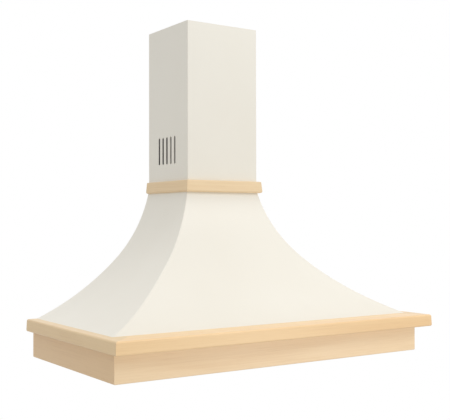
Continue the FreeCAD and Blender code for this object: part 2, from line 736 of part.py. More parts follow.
def underside_pan():
    """The flat sheet: two bays for the filters, and a hole for each fitting."""
    shape = box(-PAN_HALF, PAN_HALF, PAN_FRONT, PAN_REAR, PAN_Z, PAN_TOP)
    for sign in SIDES.values():
        x0, x1 = sorted((sign * BAY_INNER, sign * BAY_OUTER))
        shape = shape.cut(box(x0, x1, BAY_FRONT, BAY_REAR, PAN_Z - 1, PAN_TOP + 1))
        shape = shape.cut(rod(CAN_R + CAN_PLAY, PAN_T * 3, (sign * LAMP_SPREAD / 2, CONTROL_Y, PAN_Z - 1),
                              (0, 0, 1)))
        shape = shape.cut(rod(HOLE_R, PAN_T * 3, (sign * PANEL_SCREW_SPREAD / 2, CONTROL_Y, PAN_Z - 1),
                              (0, 0, 1)))
    half_w = SWITCH_W / 2 + SWITCH_PLAY
    half_d = SWITCH_D / 2 + SWITCH_PLAY
    shape = shape.cut(box(-half_w, half_w, CONTROL_Y - half_d, CONTROL_Y + half_d, PAN_Z - 1, PAN_TOP + 1))
    return shape.removeSplitter()


def pan_rails():
    """Four strips of one section, spot-welded on edge round the pan's rim."""
    top = PAN_Z + PAN_RIM
    rails = [box(-PAN_HALF, PAN_HALF, PAN_FRONT, PAN_FRONT + PAN_T, PAN_TOP, top),
             box(-PAN_HALF, PAN_HALF, PAN_REAR - PAN_T, PAN_REAR, PAN_TOP, top)]
    for x in (-PAN_HALF, PAN_HALF - PAN_T):
        rails.append(box(x, x + PAN_T, PAN_FRONT + PAN_T, PAN_REAR - PAN_T, PAN_TOP, top))
    for head, along in pan_screw_places():
        rails = [rail.cut(rod(HOLE_R, PAN_T * 2, head, along)) for rail in rails]
    return Part.makeCompound(rails)


def bay_guides():
    """A strip on edge along each side of both bays, between which a filter rises squarely."""
    guides = []
    for sign in SIDES.values():
        x0, x1 = sorted((sign * BAY_INNER, sign * BAY_OUTER))
        for x in (x0 - PAN_T, x1):
            guides.append(box(x, x + PAN_T, BAY_FRONT, BAY_REAR, PAN_TOP, PAN_TOP + BAY_LIP))
    return Part.makeCompound(guides)


def pan_screws():
    length = PAN_T + PAN_PLAY + FASCIA_T * 0.7
    return Part.makeCompound([screw(head, along, length) for head, along in pan_screw_places()])


# ---------------------------------------------------------------- grease filters
FILTER_X = BAY_INNER + FILTER_PLAY + FILTER_W / 2
FILTER_BACK = BAY_REAR - FILTER_PLAY
FILTER_FACE = FILTER_BACK - FILTER_D
LATCH_Z = PAN_TOP + LAP_PLAY
LATCH_BACK = FILTER_FACE + FRAME_SKIN + LATCH_PLAY + LATCH_LENGTH


def filter_frame():
    """A folded frame round the mesh, with two tabs behind and a hollow front rail for the latch."""
    x0 = FILTER_X - FILTER_W / 2
    x1 = FILTER_X + FILTER_W / 2
    top = PAN_Z + FILTER_T
    frame = box(x0, x1, FILTER_FACE, FILTER_BACK, PAN_Z, top)
    frame = frame.cut(box(x0 + FRAME_LIP, x1 - FRAME_LIP, FILTER_FACE + FRAME_FRONT + FRAME_LIP,
                          FILTER_BACK - FRAME_LIP, PAN_Z - 1, top + 1))
    groove_front = FILTER_FACE + FRAME_FRONT
    frame = frame.cut(box(x0 + FRAME_SKIN, x1 - FRAME_SKIN, groove_front, FILTER_BACK - FRAME_SKIN,
                          PAN_Z + FRAME_SKIN, top - FRAME_SKIN))
    frame = frame.cut(box(x0 + FRAME_SKIN, x1 - FRAME_SKIN, FILTER_FACE + FRAME_SKIN,
                          groove_front - FRAME_SKIN, PAN_Z + FRAME_SKIN, top - FRAME_SKIN))
    for sign in (-1, 1):
        middle = FILTER_X + sign * TAB_SPREAD / 2
        frame = frame.fuse(box(middle - TAB_W / 2, middle + TAB_W / 2, FILTER_BACK - FRAME_SKIN,
                               BAY_REAR + TAB_LAP, LATCH_Z, LATCH_Z + TAB_T))
    grip_back = LATCH_BACK + LATCH_TRAVEL
    frame = frame.cut(box(FILTER_X - GRIP_W / 2 - 1, FILTER_X + GRIP_W / 2 + 1,
                          LATCH_BACK - GRIP_T - 1, grip_back + 1, PAN_Z - 1, PAN_Z + FRAME_SKIN))
    half = TONGUE_W / 2 + LATCH_PLAY
    frame = frame.cut(box(FILTER_X - half, FILTER_X + half, FILTER_FACE - 1, FILTER_FACE + FRAME_SKIN + 0.5,
                          LATCH_Z - LATCH_PLAY, LATCH_Z + LATCH_T + LATCH_PLAY))
    return frame.removeSplitter()


def filter_mesh():
    """The pack of expanded aluminium mesh inside the frame."""
    x0 = FILTER_X - FILTER_W / 2 + FRAME_SKIN
    x1 = FILTER_X + FILTER_W / 2 - FRAME_SKIN
    return box(x0, x1, FILTER_FACE + FRAME_FRONT, FILTER_BACK - FRAME_SKIN, PAN_Z + FRAME_SKIN,
               PAN_Z + FILTER_T - FRAME_SKIN)


def filter_latch():
    """A plate in the front rail: its tongue rests over the pan, its grip hangs below the frame."""
    plate = box(FILTER_X - LATCH_W / 2, FILTER_X + LATCH_W / 2, LATCH_BACK - LATCH_LENGTH, LATCH_BACK,
                LATCH_Z, LATCH_Z + LATCH_T)
    tongue = box(FILTER_X - TONGUE_W / 2, FILTER_X + TONGUE_W / 2, BAY_FRONT - TONGUE_LAP, LATCH_BACK,
                 LATCH_Z, LATCH_Z + LATCH_T)
    grip = box(FILTER_X - GRIP_W / 2, FILTER_X + GRIP_W / 2, LATCH_BACK - GRIP_T, LATCH_BACK,
               PAN_Z - GRIP_DROP, LATCH_Z + LATCH_T)
    return fuse([plate, tongue, grip])


# ---------------------------------------------------------------- controls
PANEL_Z = PAN_Z - PANEL_T


def button_x(index):
    return (index - (BUTTON_COUNT - 1) / 2) * BUTTON_PITCH


def control_panel():
    shape = rounded_plate(PANEL_W, PANEL_D, PANEL_T, PANEL_R, 0, CONTROL_Y, PANEL_Z)
    for index in range(BUTTON_COUNT):
        shape = shape.cut(rounded_plate(BUTTON_W + 2 * BUTTON_PLAY, BUTTON_D + 2 * BUTTON_PLAY,
                                        PANEL_T + 2, BUTTON_R + BUTTON_PLAY, button_x(index), CONTROL_Y,
                                        PANEL_Z - 1))
    for sign in (-1, 1):
        x = sign * PANEL_SCREW_SPREAD / 2
        shape = shape.cut(rod(HOLE_R, PANEL_T * 3, (x, CONTROL_Y, PANEL_Z - 1), (0, 0, 1)))
    return shape


def panel_screws():
    places = [(sign * PANEL_SCREW_SPREAD / 2, CONTROL_Y, PANEL_Z) for sign in (-1, 1)]
    length = PANEL_T + PAN_T + PANEL_SCREW_PROUD
    return Part.makeCompound([screw(place, (0, 0, 1), length) for place in places])


def switch_housing():
    half_w = SWITCH_W / 2
    half_d = SWITCH_D / 2
    shape = box(-half_w, half_w, CONTROL_Y - half_d, CONTROL_Y + half_d, PAN_Z, PAN_Z + SWITCH_H)
    return shape.cut(box(-half_w + SWITCH_WALL, half_w - SWITCH_WALL, CONTROL_Y - half_d + SWITCH_WALL,
                         CONTROL_Y + half_d - SWITCH_WALL, PAN_Z - 1, PAN_Z + SWITCH_CAVITY))


def button(index):
    """A cap below the panel, a flange that rests on it, and a stem into the switch."""
    x = button_x(index)
    low = PANEL_Z - BUTTON_PROUD
    cap = rounded_plate(BUTTON_W, BUTTON_D, PAN_Z - low, BUTTON_R, x, CONTROL_Y, low)
    rim = [e for e in cap.Edges if abs(e.CenterOfMass.z - low) < 0.01]
    cap = cap.makeFillet(BUTTON_EDGE_R, rim)
    flange = rounded_plate(BUTTON_W + 2 * BUTTON_FLANGE, BUTTON_D + 2 * BUTTON_FLANGE, BUTTON_FLANGE_T,
                           BUTTON_R, x, CONTROL_Y, PAN_Z)
    return fuse([cap, flange, rod(STEM_R, STEM_H, (x, CONTROL_Y, PAN_Z), (0, 0, 1))])


# ---------------------------------------------------------------- lamps
def both(make):
    """A piece for each lamp, left and right."""
    return Part.makeCompound([make(sign * LAMP_SPREAD / 2) for sign in SIDES.values()])


def lamp_bezel(x):
    ring = tube(LAMP_R, LAMP_WINDOW_R, PANEL_T, (x, CONTROL_Y, PANEL_Z), (0, 0, 1))
    rim = [e for e in ring.Edges if abs(e.CenterOfMass.z - PANEL_Z) < 0.01]
    ring = ring.makeFillet(LAMP_EDGE_R, rim)
    return ring.cut(rod(LENS_R + LENS_PLAY, PANEL_T, (x, CONTROL_Y, PANEL_Z + LAMP_LIP), (0, 0, 1)))


def lamp_lens(x):
    return rod(LENS_R, LENS_T, (x, CONTROL_Y, PANEL_Z + LAMP_LIP), (0, 0, 1))


def lamp_housing(x):
    can = rod(CAN_R, CAN_H, (x, CONTROL_Y, PAN_Z), (0, 0, 1))
    top = [e for e in can.Edges if abs(e.CenterOfMass.z - PAN_Z - CAN_H) < 0.01 and e.Length > CAN_R * 3]
    can = can.makeFillet(CAN_EDGE_R, top)
    return can.cut(rod(CAN_R - CAN_WALL, CAN_H - CAN_WALL, (x, CONTROL_Y, PAN_Z), (0, 0, 1)))


def lamp_bulb(x):
    low = PAN_Z + CAN_H - CAN_WALL - BULB_LENGTH
    bulb = rod(BULB_R, BULB_LENGTH, (x, CONTROL_Y, low), (0, 0, 1))
    tip = [e for e in bulb.Edges if abs(e.CenterOfMass.z - low) < 0.01 and e.Length > BULB_R * 3]
    return bulb.makeFillet(BULB_R * 0.6, tip)


# ---------------------------------------------------------------- blower scroll
def rotor_rod(radius, start, length):
    """A rod on the rotor's axis, from start towards the wall."""
    return rod(radius, length, (ROTOR_X, start, ROTOR_Z), (0, 1, 0))


def rotor_tube(outer, inner, start, length):
    return rotor_rod(outer, start, length).cut(rotor_rod(inner, start, length))


def scroll_quarters():
    """Centre and inside radius of the scroll's four quarter arcs, which open step by step."""
    first = ROTOR_R + SCROLL_GAP
    half = SCROLL_STEP / 2
    centres = [(ROTOR_X - half, ROTOR_Z + half), (ROTOR_X - half, ROTOR_Z - half),
               (ROTOR_X + half, ROTOR_Z - half), (ROTOR_X + half, ROTOR_Z + half)]
    return centres, [first + SCROLL_STEP * n for n in range(4)]


def scroll_outline(grow):
    """The scroll's inside outline in the plane y = 0: the quarter arcs and the neck. grow moves it
    outwards, for the scroll's outside."""
    centres, radii = scroll_quarters()
    first = radii[0]
    radii = [radius + grow for radius in radii]
    neck_x = centres[0][0] + first * math.cos(math.radians(TONGUE_ANGLE)) - grow
    start = math.degrees(math.acos((neck_x - centres[0][0]) / radii[0]))
    stops = [start, 90.0, 180.0, 270.0, 360.0]
    edges = []
    ends = []
    for (cx, cz), radius, a0, a1 in zip(centres, radii, stops[:-1], stops[1:]):
        spots = []
        for angle in (a0, (a0 + a1) / 2, a1):
            turn = math.radians(angle)
            spots.append((cx + radius * math.cos(turn), 0, cz + radius * math.sin(turn)))
        edges.append(arc(*spots))
        ends.append(spots)
    tongue = ends[0][0]
    side = ends[-1][2]
    roof_right = (side[0], 0, SCROLL_TOP)
    roof_left = (tongue[0], 0, SCROLL_TOP)
    edges += [line(side, roof_right), line(roof_right, roof_left), line(roof_left, tongue)]
    return Part.Face(Part.Wire(Part.__sortEdges__(edges)))


def neck_span():
    """The inside of the scroll's neck, from its left wall to its right."""
    first = ROTOR_R + SCROLL_GAP
    left = ROTOR_X - SCROLL_STEP / 2 + first * math.cos(math.radians(TONGUE_ANGLE))
    right = ROTOR_X + SCROLL_STEP / 2 + first + 3 * SCROLL_STEP
    return left, right


SCROLL_FRONT = SCROLL_REAR - SCROLL_DEPTH
SCROLL_SPLIT = SCROLL_REAR - SCROLL_DEPTH / 2


def ear_places():
    """Screws that hold the two shells together, round the scroll."""
    spots = []
    for (cx, cz), radius, angle in zip(*scroll_quarters(), (90.0, 150.0, 222.0, 300.0)):
        turn = math.radians(angle)
        spots.append((cx + (radius + EAR_R) * math.cos(turn), cz + (radius + EAR_R) * math.sin(turn)))
    right = neck_span()[1]
    return spots + [(right + EAR_R, ROTOR_Z + SCROLL_GAP * 2), (right + EAR_R, SCROLL_TOP - EAR_R * 2)]


def scroll_shells():
    outside = scroll_outline(SCROLL_WALL).extrude(V(0, -SCROLL_DEPTH, 0))
    outside.translate(V(0, SCROLL_REAR, 0))
    inside = scroll_outline(0).extrude(V(0, -(SCROLL_DEPTH - 2 * SCROLL_WALL), 0))
    inside.translate(V(0, SCROLL_REAR - SCROLL_WALL, 0))
    left, right = neck_span()
    mouth = box(left, right, SCROLL_FRONT + SCROLL_WALL, SCROLL_REAR - SCROLL_WALL, SCROLL_TOP - 1,
                SCROLL_TOP + 1)
    shell = outside
    ear_t = SCROLL_WALL * 2
    for x, z in ear_places():
        shell = shell.fuse(rod(EAR_R, ear_t, (x, SCROLL_SPLIT - ear_t / 2, z), (0, 1, 0)))
    shell = shell.cut(inside).cut(mouth)
    for x, z in ear_places():
        shell = shell.cut(rod(HOLE_R, ear_t * 2, (x, SCROLL_SPLIT - ear_t, z), (0, 1, 0)))
    shell = shell.cut(rotor_rod(INLET_R, SCROLL_FRONT - SCROLL_WALL, SCROLL_WALL * 3))
    shell = shell.cut(rotor_rod(MOTOR_R + MOTOR_HOLE_PLAY, SCROLL_REAR - SCROLL_WALL * 2, SCROLL_WALL * 3))
    for x, z in motor_screw_places():
        shell = shell.cut(rod(SCREW_R + WOOD_HOLE_PLAY, SCROLL_WALL * 3,
                              (x, SCROLL_REAR - SCROLL_WALL * 2, z), (0, 1, 0)))
    front = shell.common(box(-FAR, FAR, -FAR, SCROLL_SPLIT, -FAR, FAR)).removeSplitter()
    rear = shell.common(box(-FAR, FAR, SCROLL_SPLIT, FAR, -FAR, FAR)).removeSplitter()
    return front, rear


def scroll_screws():
    grip = SCROLL_WALL * 2
    return Part.makeCompound([screw((x, SCROLL_SPLIT - grip / 2, z), (0, 1, 0), grip + EAR_SCREW_PROUD)
                              for x, z in ear_places()])


def inlet_grille():
    """A finger guard: a rolled rim in the inlet, rings and spokes."""
    face = SCROLL_FRONT
    start = face - GRILLE_T
    rim = rotor_tube(INLET_R + INLET_RIM, INLET_R - INLET_RIM / 2, start, GRILLE_T)
    throat = rotor_tube(INLET_R - SHEET_PLAY, INLET_R - INLET_RIM / 2, start, GRILLE_T + SCROLL_WALL)
    shape = rim.fuse(throat)
    pitch = (INLET_R - INLET_RIM / 2) / (GRILLE_RINGS + 0.5)
    for ring in range(1, GRILLE_RINGS + 1):
        radius = pitch * ring
        shape = shape.fuse(rotor_tube(radius + GRILLE_BAR / 2, radius - GRILLE_BAR / 2, start, GRILLE_T))
    reach = INLET_R - INLET_RIM / 4
    for spoke in range(GRILLE_SPOKES):
        bar = box(pitch - GRILLE_BAR / 2, reach, -GRILLE_T, 0, -GRILLE_BAR / 2, GRILLE_BAR / 2)
        bar.rotate(V(0, 0, 0), V(0, 1, 0), 360.0 * spoke / GRILLE_SPOKES)
        bar.translate(V(ROTOR_X, face, ROTOR_Z))
        shape = shape.fuse(bar)
    return shape.removeSplitter()


# ---------------------------------------------------------------- rotor and motor
ROTOR_BACK = SCROLL_REAR - SCROLL_WALL - ROTOR_REAR_GAP
ROTOR_FRONT = SCROLL_FRONT + SCROLL_WALL + ROTOR_FRONT_GAP


def impeller():
    """A drum of forward-curved blades between a back disc and a front ring, with a bored hub."""
    disc = rotor_rod(ROTOR_R, ROTOR_BACK - ROTOR_DISC_T, ROTOR_DISC_T)
    ring = rotor_tube(ROTOR_R, ROTOR_R - BLADE_DEPTH, ROTOR_FRONT, ROTOR_DISC_T)
    length = ROTOR_BACK - ROTOR_DISC_T / 2 - ROTOR_FRONT - ROTOR_DISC_T / 2
    shape = disc.fuse(rotor_rod(HUB_R, ROTOR_BACK - HUB_LENGTH, HUB_LENGTH))
    blades = []
    lean = math.radians(BLADE_LEAN)
    inner_r = ROTOR_R - BLADE_DEPTH + 0.5
    outer_r = ROTOR_R - 0.5
    for index in range(BLADE_COUNT):
        turn = 2 * math.pi * index / BLADE_COUNT
        tip = turn + lean * BLADE_DEPTH / ROTOR_R * 2
        bow = turn + lean * BLADE_DEPTH / ROTOR_R * 0.6
        spots = [(inner_r, turn), ((inner_r + outer_r) / 2, bow), (outer_r, tip)]
        edge = []
        for offset in (-BLADE_T / 2, BLADE_T / 2):
            edge.append([(ROTOR_X + r * math.cos(a) - offset * math.sin(a), ROTOR_FRONT + ROTOR_DISC_T / 2,
                          ROTOR_Z + r * math.sin(a) + offset * math.cos(a)) for r, a in spots])
        wire = Part.Wire(Part.__sortEdges__([arc(*edge[0]), arc(*edge[1]), line(edge[0][0], edge[1][0]),
                                             line(edge[0][2], edge[1][2])]))
        blades.append(Part.Face(wire).extrude(V(0, length, 0)))
    shape = shape.fuse([ring] + blades)
    bore = rotor_rod(SHAFT_R + SHAFT_PLAY, ROTOR_BACK - HUB_LENGTH - 2, HUB_LENGTH + 4)
    return shape.cut(bore).removeSplitter()


def motor_shaft():
    front = ROTOR_BACK - HUB_LENGTH - NUT_T - SHAFT_PROUD
    return rotor_rod(SHAFT_R, front, MOTOR_REAR - SHAFT_SINK - front)


def hub_nut():
    radius = NUT_AF / math.sqrt(3)
    corners = [(ROTOR_X + radius * math.cos(math.radians(60 * n)), ROTOR_BACK - HUB_LENGTH - NUT_T,
                ROTOR_Z + radius * math.sin(math.radians(60 * n))) for n in range(6)]
    nut = polygon(corners, (0, NUT_T, 0))
    return nut.cut(rotor_rod(SHAFT_R + SHAFT_PLAY, ROTOR_BACK - HUB_LENGTH - NUT_T - 1, NUT_T + 2))


def motor():
    can = rotor_rod(MOTOR_R, MOTOR_REAR - MOTOR_LENGTH, MOTOR_LENGTH)
    rims = [e for e in can.Edges if e.Length > MOTOR_R * 5]
    can = can.makeFillet(MOTOR_EDGE_R, rims)
    return can.cut(rotor_rod(SHAFT_R + SHAFT_PLAY, MOTOR_REAR - MOTOR_LENGTH - 1, MOTOR_LENGTH + 2))


def motor_screw_places():
    radius = (MOTOR_R + MOTOR_HOLE_PLAY + MOTOR_RING_R) / 2
    turns = [math.radians(90 + 360.0 * n / MOTOR_SCREWS) for n in range(MOTOR_SCREWS)]
    return [(ROTOR_X + radius * math.cos(t), ROTOR_Z + radius * math.sin(t)) for t in turns]


def motor_bracket():
    ring = rotor_tube(MOTOR_RING_R, MOTOR_R + MOTOR_PLAY, SCROLL_REAR, MOTOR_BRACKET_T)
    collar = rotor_tube(MOTOR_R + MOTOR_BRACKET_T, MOTOR_R + MOTOR_PLAY, SCROLL_REAR, MOTOR_GRIP)
    shape = ring.fuse(collar)
    for x, z in motor_screw_places():
        shape = shape.cut(rod(HOLE_R, MOTOR_BRACKET_T * 3, (x, SCROLL_REAR - 1, z), (0, 1, 0)))
    return shape.removeSplitter()


def motor_screws():
    head_y = SCROLL_REAR + MOTOR_BRACKET_T
    return Part.makeCompound([screw((x, head_y, z), (0, -1, 0), MOTOR_BRACKET_T + SCROLL_WALL)
                              for x, z in motor_screw_places()])


# ---------------------------------------------------------------- outlet and its flaps
PIVOT_Z = SCROLL_TOP + PLATE_T + FLAP_PIVOT_H
COLLAR_BORE_R = COLLAR_R - COLLAR_T
FLAP_R = COLLAR_BORE_R - FLAP_GAP
KNUCKLE_R = PIN_R + SHAFT_PLAY + KNUCKLE_T


def plate_screw_places():
    reach = PLATE_W / 2 - PLATE_SCREW_INSET
    return [(sign * reach, COLLAR_Y + step * reach) for sign in (-1, 1) for step in (-1, 1)]


def outlet_collar():
    """A square plate on the scroll's neck that carries the round collar for the duct."""
    low = SCROLL_TOP
    plate = rounded_plate(PLATE_W, PLATE_W, PLATE_T, PLATE_CORNER_R, 0, COLLAR_Y, low)
    left, right = neck_span()
    plate = plate.cut(box(left, right, SCROLL_FRONT + SCROLL_WALL, SCROLL_REAR - SCROLL_WALL, low - 1,
                          low + PLATE_T + 1))
    top = low + PLATE_T
    ring = tube(COLLAR_R, COLLAR_BORE_R, COLLAR_H, (0, COLLAR_Y, top), (0, 0, 1))
    ledge = tube(COLLAR_BORE_R + 0.5, COLLAR_BORE_R - LEDGE_W, LEDGE_T,
                 (0, COLLAR_Y, PIVOT_Z - FLAP_T / 2 - LAP_PLAY - LEDGE_T), (0, 0, 1))
    shape = fuse([plate, ring, ledge])
    shape = shape.cut(pin_rod(SHAFT_PLAY))
    for x, y in plate_screw_places():
        shape = shape.cut(rod(HOLE_R, PLATE_T * 3, (x, y, low - PLATE_T), (0, 0, 1)))
    return shape


def pin_rod(play):
    half = COLLAR_BORE_R + PIN_SEAT + play
    return rod(PIN_R + play, 2 * half, (-half, COLLAR_Y, PIVOT_Z), (1, 0, 0))


def damper_pin():
    return pin_rod(0)


def damper_flap(side):
    """One half-round flap. side is -1 for the front one and 1 for the rear one."""
    rear = side > 0
    reach = KNUCKLE_R + FLAP_CLEAR
    low = PIVOT_Z - FLAP_T / 2
    disc = rod(FLAP_R, FLAP_T, (0, COLLAR_Y, low), (0, 0, 1))
    y0, y1 = sorted((COLLAR_Y + side * reach, COLLAR_Y + side * COLLAR_R))
    shape = disc.common(box(-COLLAR_R, COLLAR_R, y0, y1, low - 1, low + FLAP_T + 1))
    starts = [-KNUCKLE_W * 2, 0.0] if rear else [-KNUCKLE_W, KNUCKLE_W]
    for start in starts:
        x0 = start + FLAP_CLEAR / 2
        x1 = start + KNUCKLE_W - FLAP_CLEAR / 2
        y0, y1 = sorted((COLLAR_Y, COLLAR_Y + side * (reach + 0.5)))
        web = box(x0, x1, y0, y1, low, low + FLAP_T)
        knuckle = rod(KNUCKLE_R, x1 - x0, (x0, COLLAR_Y, PIVOT_Z), (1, 0, 0))
        shape = shape.fuse(web).fuse(knuckle)
    return shape.cut(pin_rod(SHAFT_PLAY)).removeSplitter()


def blower_brackets():
    """Two angles on the back panel that the outlet plate sits on, either side of the neck."""
    outer = PLATE_W / 2
    shapes = []
    for sign in (-1, 1):
        x0, x1 = sorted((sign * outer, sign * (outer - SUPPORT_W)))
        top = SCROLL_TOP
        shelf = box(x0, x1, -BACK_T - SUPPORT_DEPTH, -BACK_T, top - SUPPORT_T, top)
        leg = box(x0, x1, -BACK_T - SUPPORT_T, -BACK_T, top - SUPPORT_H, top)
        shape = shelf.fuse(leg)
        for x, y in plate_screw_places():
            if x * sign > 0:
                shape = shape.cut(rod(WOOD_HOLE_R, SUPPORT_T * 3, (x, y, top - SUPPORT_T * 2), (0, 0, 1)))
        shapes.append(shape.removeSplitter())
    return Part.makeCompound(shapes)


def plate_screws():
    length = PLATE_T + SUPPORT_T + PLATE_SCREW_PROUD
    return Part.makeCompound([screw((x, y, SCROLL_TOP + PLATE_T), (0, 0, -1), length)
                              for x, y in plate_screw_places()])


# ---------------------------------------------------------------- electrics
def junction_box():
    shape = box(BOX_X - BOX_W / 2, BOX_X + BOX_W / 2, -BACK_T - BOX_D, -BACK_T, BOX_Z - BOX_H / 2,
                BOX_Z + BOX_H / 2)
    front = [e for e in shape.Edges if e.CenterOfMass.y < -BACK_T - BOX_D + 0.01]
    return shape.makeFillet(BOX_EDGE_R, front)


def cable_gland():
    """The gland on the box's top that the supply lead would come through."""
    at = (BOX_X, -BACK_T - BOX_D / 2, BOX_Z + BOX_H / 2)
    radius = GLAND_R * 2 / math.sqrt(3)
    turns = [math.radians(60 * n) for n in range(6)]
    corners = [(at[0] + radius * math.cos(t), at[1] + radius * math.sin(t), at[2]) for t in turns]
    nut = polygon(corners, (0, 0, GLAND_H / 3))
    neck = rod(GLAND_R, GLAND_H, at, (0, 0, 1))
    top = [e for e in neck.Edges if abs(e.CenterOfMass.z - at[2] - GLAND_H) < 0.01 and e.Length > GLAND_R]
    neck = neck.makeFillet(BOX_EDGE_R, top)
    return nut.fuse(neck).cut(rod(GLAND_BORE_R, GLAND_H + 2, (at[0], at[1], at[2] - 1), (0, 0, 1)))


def capacitor():
    """The motor's running capacitor, standing on a small foot against the back panel."""
    y = -BACK_T - CAP_STAND - CAP_R
    half = CAP_FOOT_W / 2
    can = rod(CAP_R, CAP_H, (CAP_X, y, CAP_Z), (0, 0, 1))
    can = can.makeFillet(CAP_EDGE_R, [e for e in can.Edges if e.Length > CAP_R * 5])
    foot = box(CAP_X - half, CAP_X + half, y, -BACK_T, CAP_Z + CAP_FOOT_INSET, CAP_Z + CAP_H - CAP_FOOT_INSET)
    return can.fuse(foot).removeSplitter()


# ---------------------------------------------------------------- write every piece
def main():
    os.makedirs("parts", exist_ok=True)

    save("back_panel", back_panel())
    save("dome_front_panel", dome_front())
    right = dome_right()
    save("dome_right_panel", right)
    save("dome_left_panel", mirror_x(right))
    save("rear_rivets", rivets())
    save("dome_screws", dome_screws())

    trims = (("moulding", moulding(), MOULDING_W, MOULDING_D, MOULDING_REACH_X, MOULDING_REACH_Y),
             ("fascia", fascia(), FASCIA_W, FASCIA_D, FASCIA_T, FASCIA_T),
             ("band", band(), BAND_W, BAND_D, BAND_REACH_X, BAND_REACH_Y))
    for name, frame, width, depth, reach_x, reach_y in trims:
        for part in ("front", "left", "right"):
            save("%s_%s" % (name, part), board(frame, width, depth, part, reach_x, reach_y))
    save("fascia_dowels", dowel_rods(0))
    save("band_screws", band_screws())

    save("chimney_cover", chimney_cover())
    save("chimney_extension", chimney_extension())
    save("chimney_bracket", chimney_bracket())
    save("extension_screws", extension_screws())

    save("underside_pan", underside_pan())
    save("pan_rails", pan_rails())
    save("bay_guides", bay_guides())
    save("pan_screws", pan_screws())
    for side, make in (("right", lambda shape: shape), ("left", mirror_x)):
        save("filter_frame_" + side, make(filter_frame()))
        save("filter_mesh_" + side, make(filter_mesh()))
        save("filter_latch_" + side, make(filter_latch()))

    save("control_panel", control_panel())
    save("panel_screws", panel_screws())
    save("switch_housing", switch_housing())
    for index, name in enumerate(("light", "off", "low", "medium", "high")):
        save("button_" + name, button(index))

    save("lamp_bezels", both(lamp_bezel))
    save("lamp_lenses", both(lamp_lens))
    save("lamp_housings", both(lamp_housing))
    save("lamp_bulbs", both(lamp_bulb))

    front, rear = scroll_shells()
    save("scroll_front_shell", front)
    save("scroll_rear_shell", rear)
    save("inlet_grille", inlet_grille())
    save("impeller", impeller())
    save("motor_shaft", motor_shaft())
    save("hub_nut", hub_nut())
    save("motor", motor())
    save("motor_bracket", motor_bracket())
    save("blower_screws", Part.makeCompound([scroll_screws(), motor_screws(), plate_screws()]))

    save("outlet_collar", outlet_collar())
    save("damper_pin", damper_pin())
    save("damper_flap_front", damper_flap(-1))
    save("damper_flap_rear", damper_flap(1))
    save("blower_brackets", blower_brackets())

    save("junction_box", junction_box())
    save("cable_gland", cable_gland())
    save("capacitor", capacitor())


main()
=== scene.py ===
"""The finish of a wall-hung dome chimney hood: cream powder coat, pale lacquered wood trim, and the
working parts under and inside it. Metres, X across the hood, the wall at y = 0, the room towards -Y.
"""
import bmesh
import bpy
import json
import math
from mathutils import Matrix, Vector

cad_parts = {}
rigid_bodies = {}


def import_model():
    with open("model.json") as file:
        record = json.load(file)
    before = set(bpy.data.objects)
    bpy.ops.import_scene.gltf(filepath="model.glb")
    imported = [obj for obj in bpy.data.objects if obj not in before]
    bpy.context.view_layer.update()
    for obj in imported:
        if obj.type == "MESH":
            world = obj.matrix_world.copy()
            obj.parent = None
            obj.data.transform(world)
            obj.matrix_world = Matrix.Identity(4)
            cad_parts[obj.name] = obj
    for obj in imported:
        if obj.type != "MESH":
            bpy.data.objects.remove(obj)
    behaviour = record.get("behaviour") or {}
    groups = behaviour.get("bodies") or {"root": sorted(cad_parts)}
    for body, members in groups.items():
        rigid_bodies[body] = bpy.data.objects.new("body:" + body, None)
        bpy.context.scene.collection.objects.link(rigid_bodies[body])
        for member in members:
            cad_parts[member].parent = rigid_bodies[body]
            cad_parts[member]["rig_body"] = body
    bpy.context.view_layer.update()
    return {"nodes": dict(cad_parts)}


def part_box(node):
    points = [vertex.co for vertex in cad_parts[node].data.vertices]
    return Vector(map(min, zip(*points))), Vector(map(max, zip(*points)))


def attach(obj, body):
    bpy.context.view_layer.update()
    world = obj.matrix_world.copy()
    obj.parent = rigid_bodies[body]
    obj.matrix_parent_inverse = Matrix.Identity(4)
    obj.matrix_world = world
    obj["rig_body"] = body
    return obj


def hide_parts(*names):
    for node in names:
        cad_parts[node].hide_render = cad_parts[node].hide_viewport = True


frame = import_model()
scene = bpy.context.scene
scene.view_settings.view_transform = "Standard"

# ---------------------------------------------------------------- camera
# The camera stands in front of the hood's left corner, level with the middle of the dome, and looks very
# slightly up. The picture is framed a little to the left of the lens's axis, which the small shift keeps.
CAMERA_PLACE = (-1.2118, -2.0616, 0.3331)
CAMERA_YAW = 34.21          # degrees from straight at the wall
CAMERA_TILT = 0.84
CAMERA_ROLL = -0.13
CAMERA_LENS = 68.77         # mm, on a sensor 36 mm wide
CAMERA_SHIFT = -0.0326

camera = bpy.data.objects.new("camera", bpy.data.cameras.new("camera"))
camera.data.lens = CAMERA_LENS
camera.data.sensor_width = 36.0
camera.data.shift_x = CAMERA_SHIFT
camera.matrix_world = (Matrix.Translation(CAMERA_PLACE)
                       @ Matrix.Rotation(math.radians(-CAMERA_YAW), 4, "Z")
                       @ Matrix.Rotation(math.radians(90 + CAMERA_TILT), 4, "X")
                       @ Matrix.Rotation(math.radians(CAMERA_ROLL), 4, "Z"))
scene.collection.objects.link(camera)
scene.camera = camera

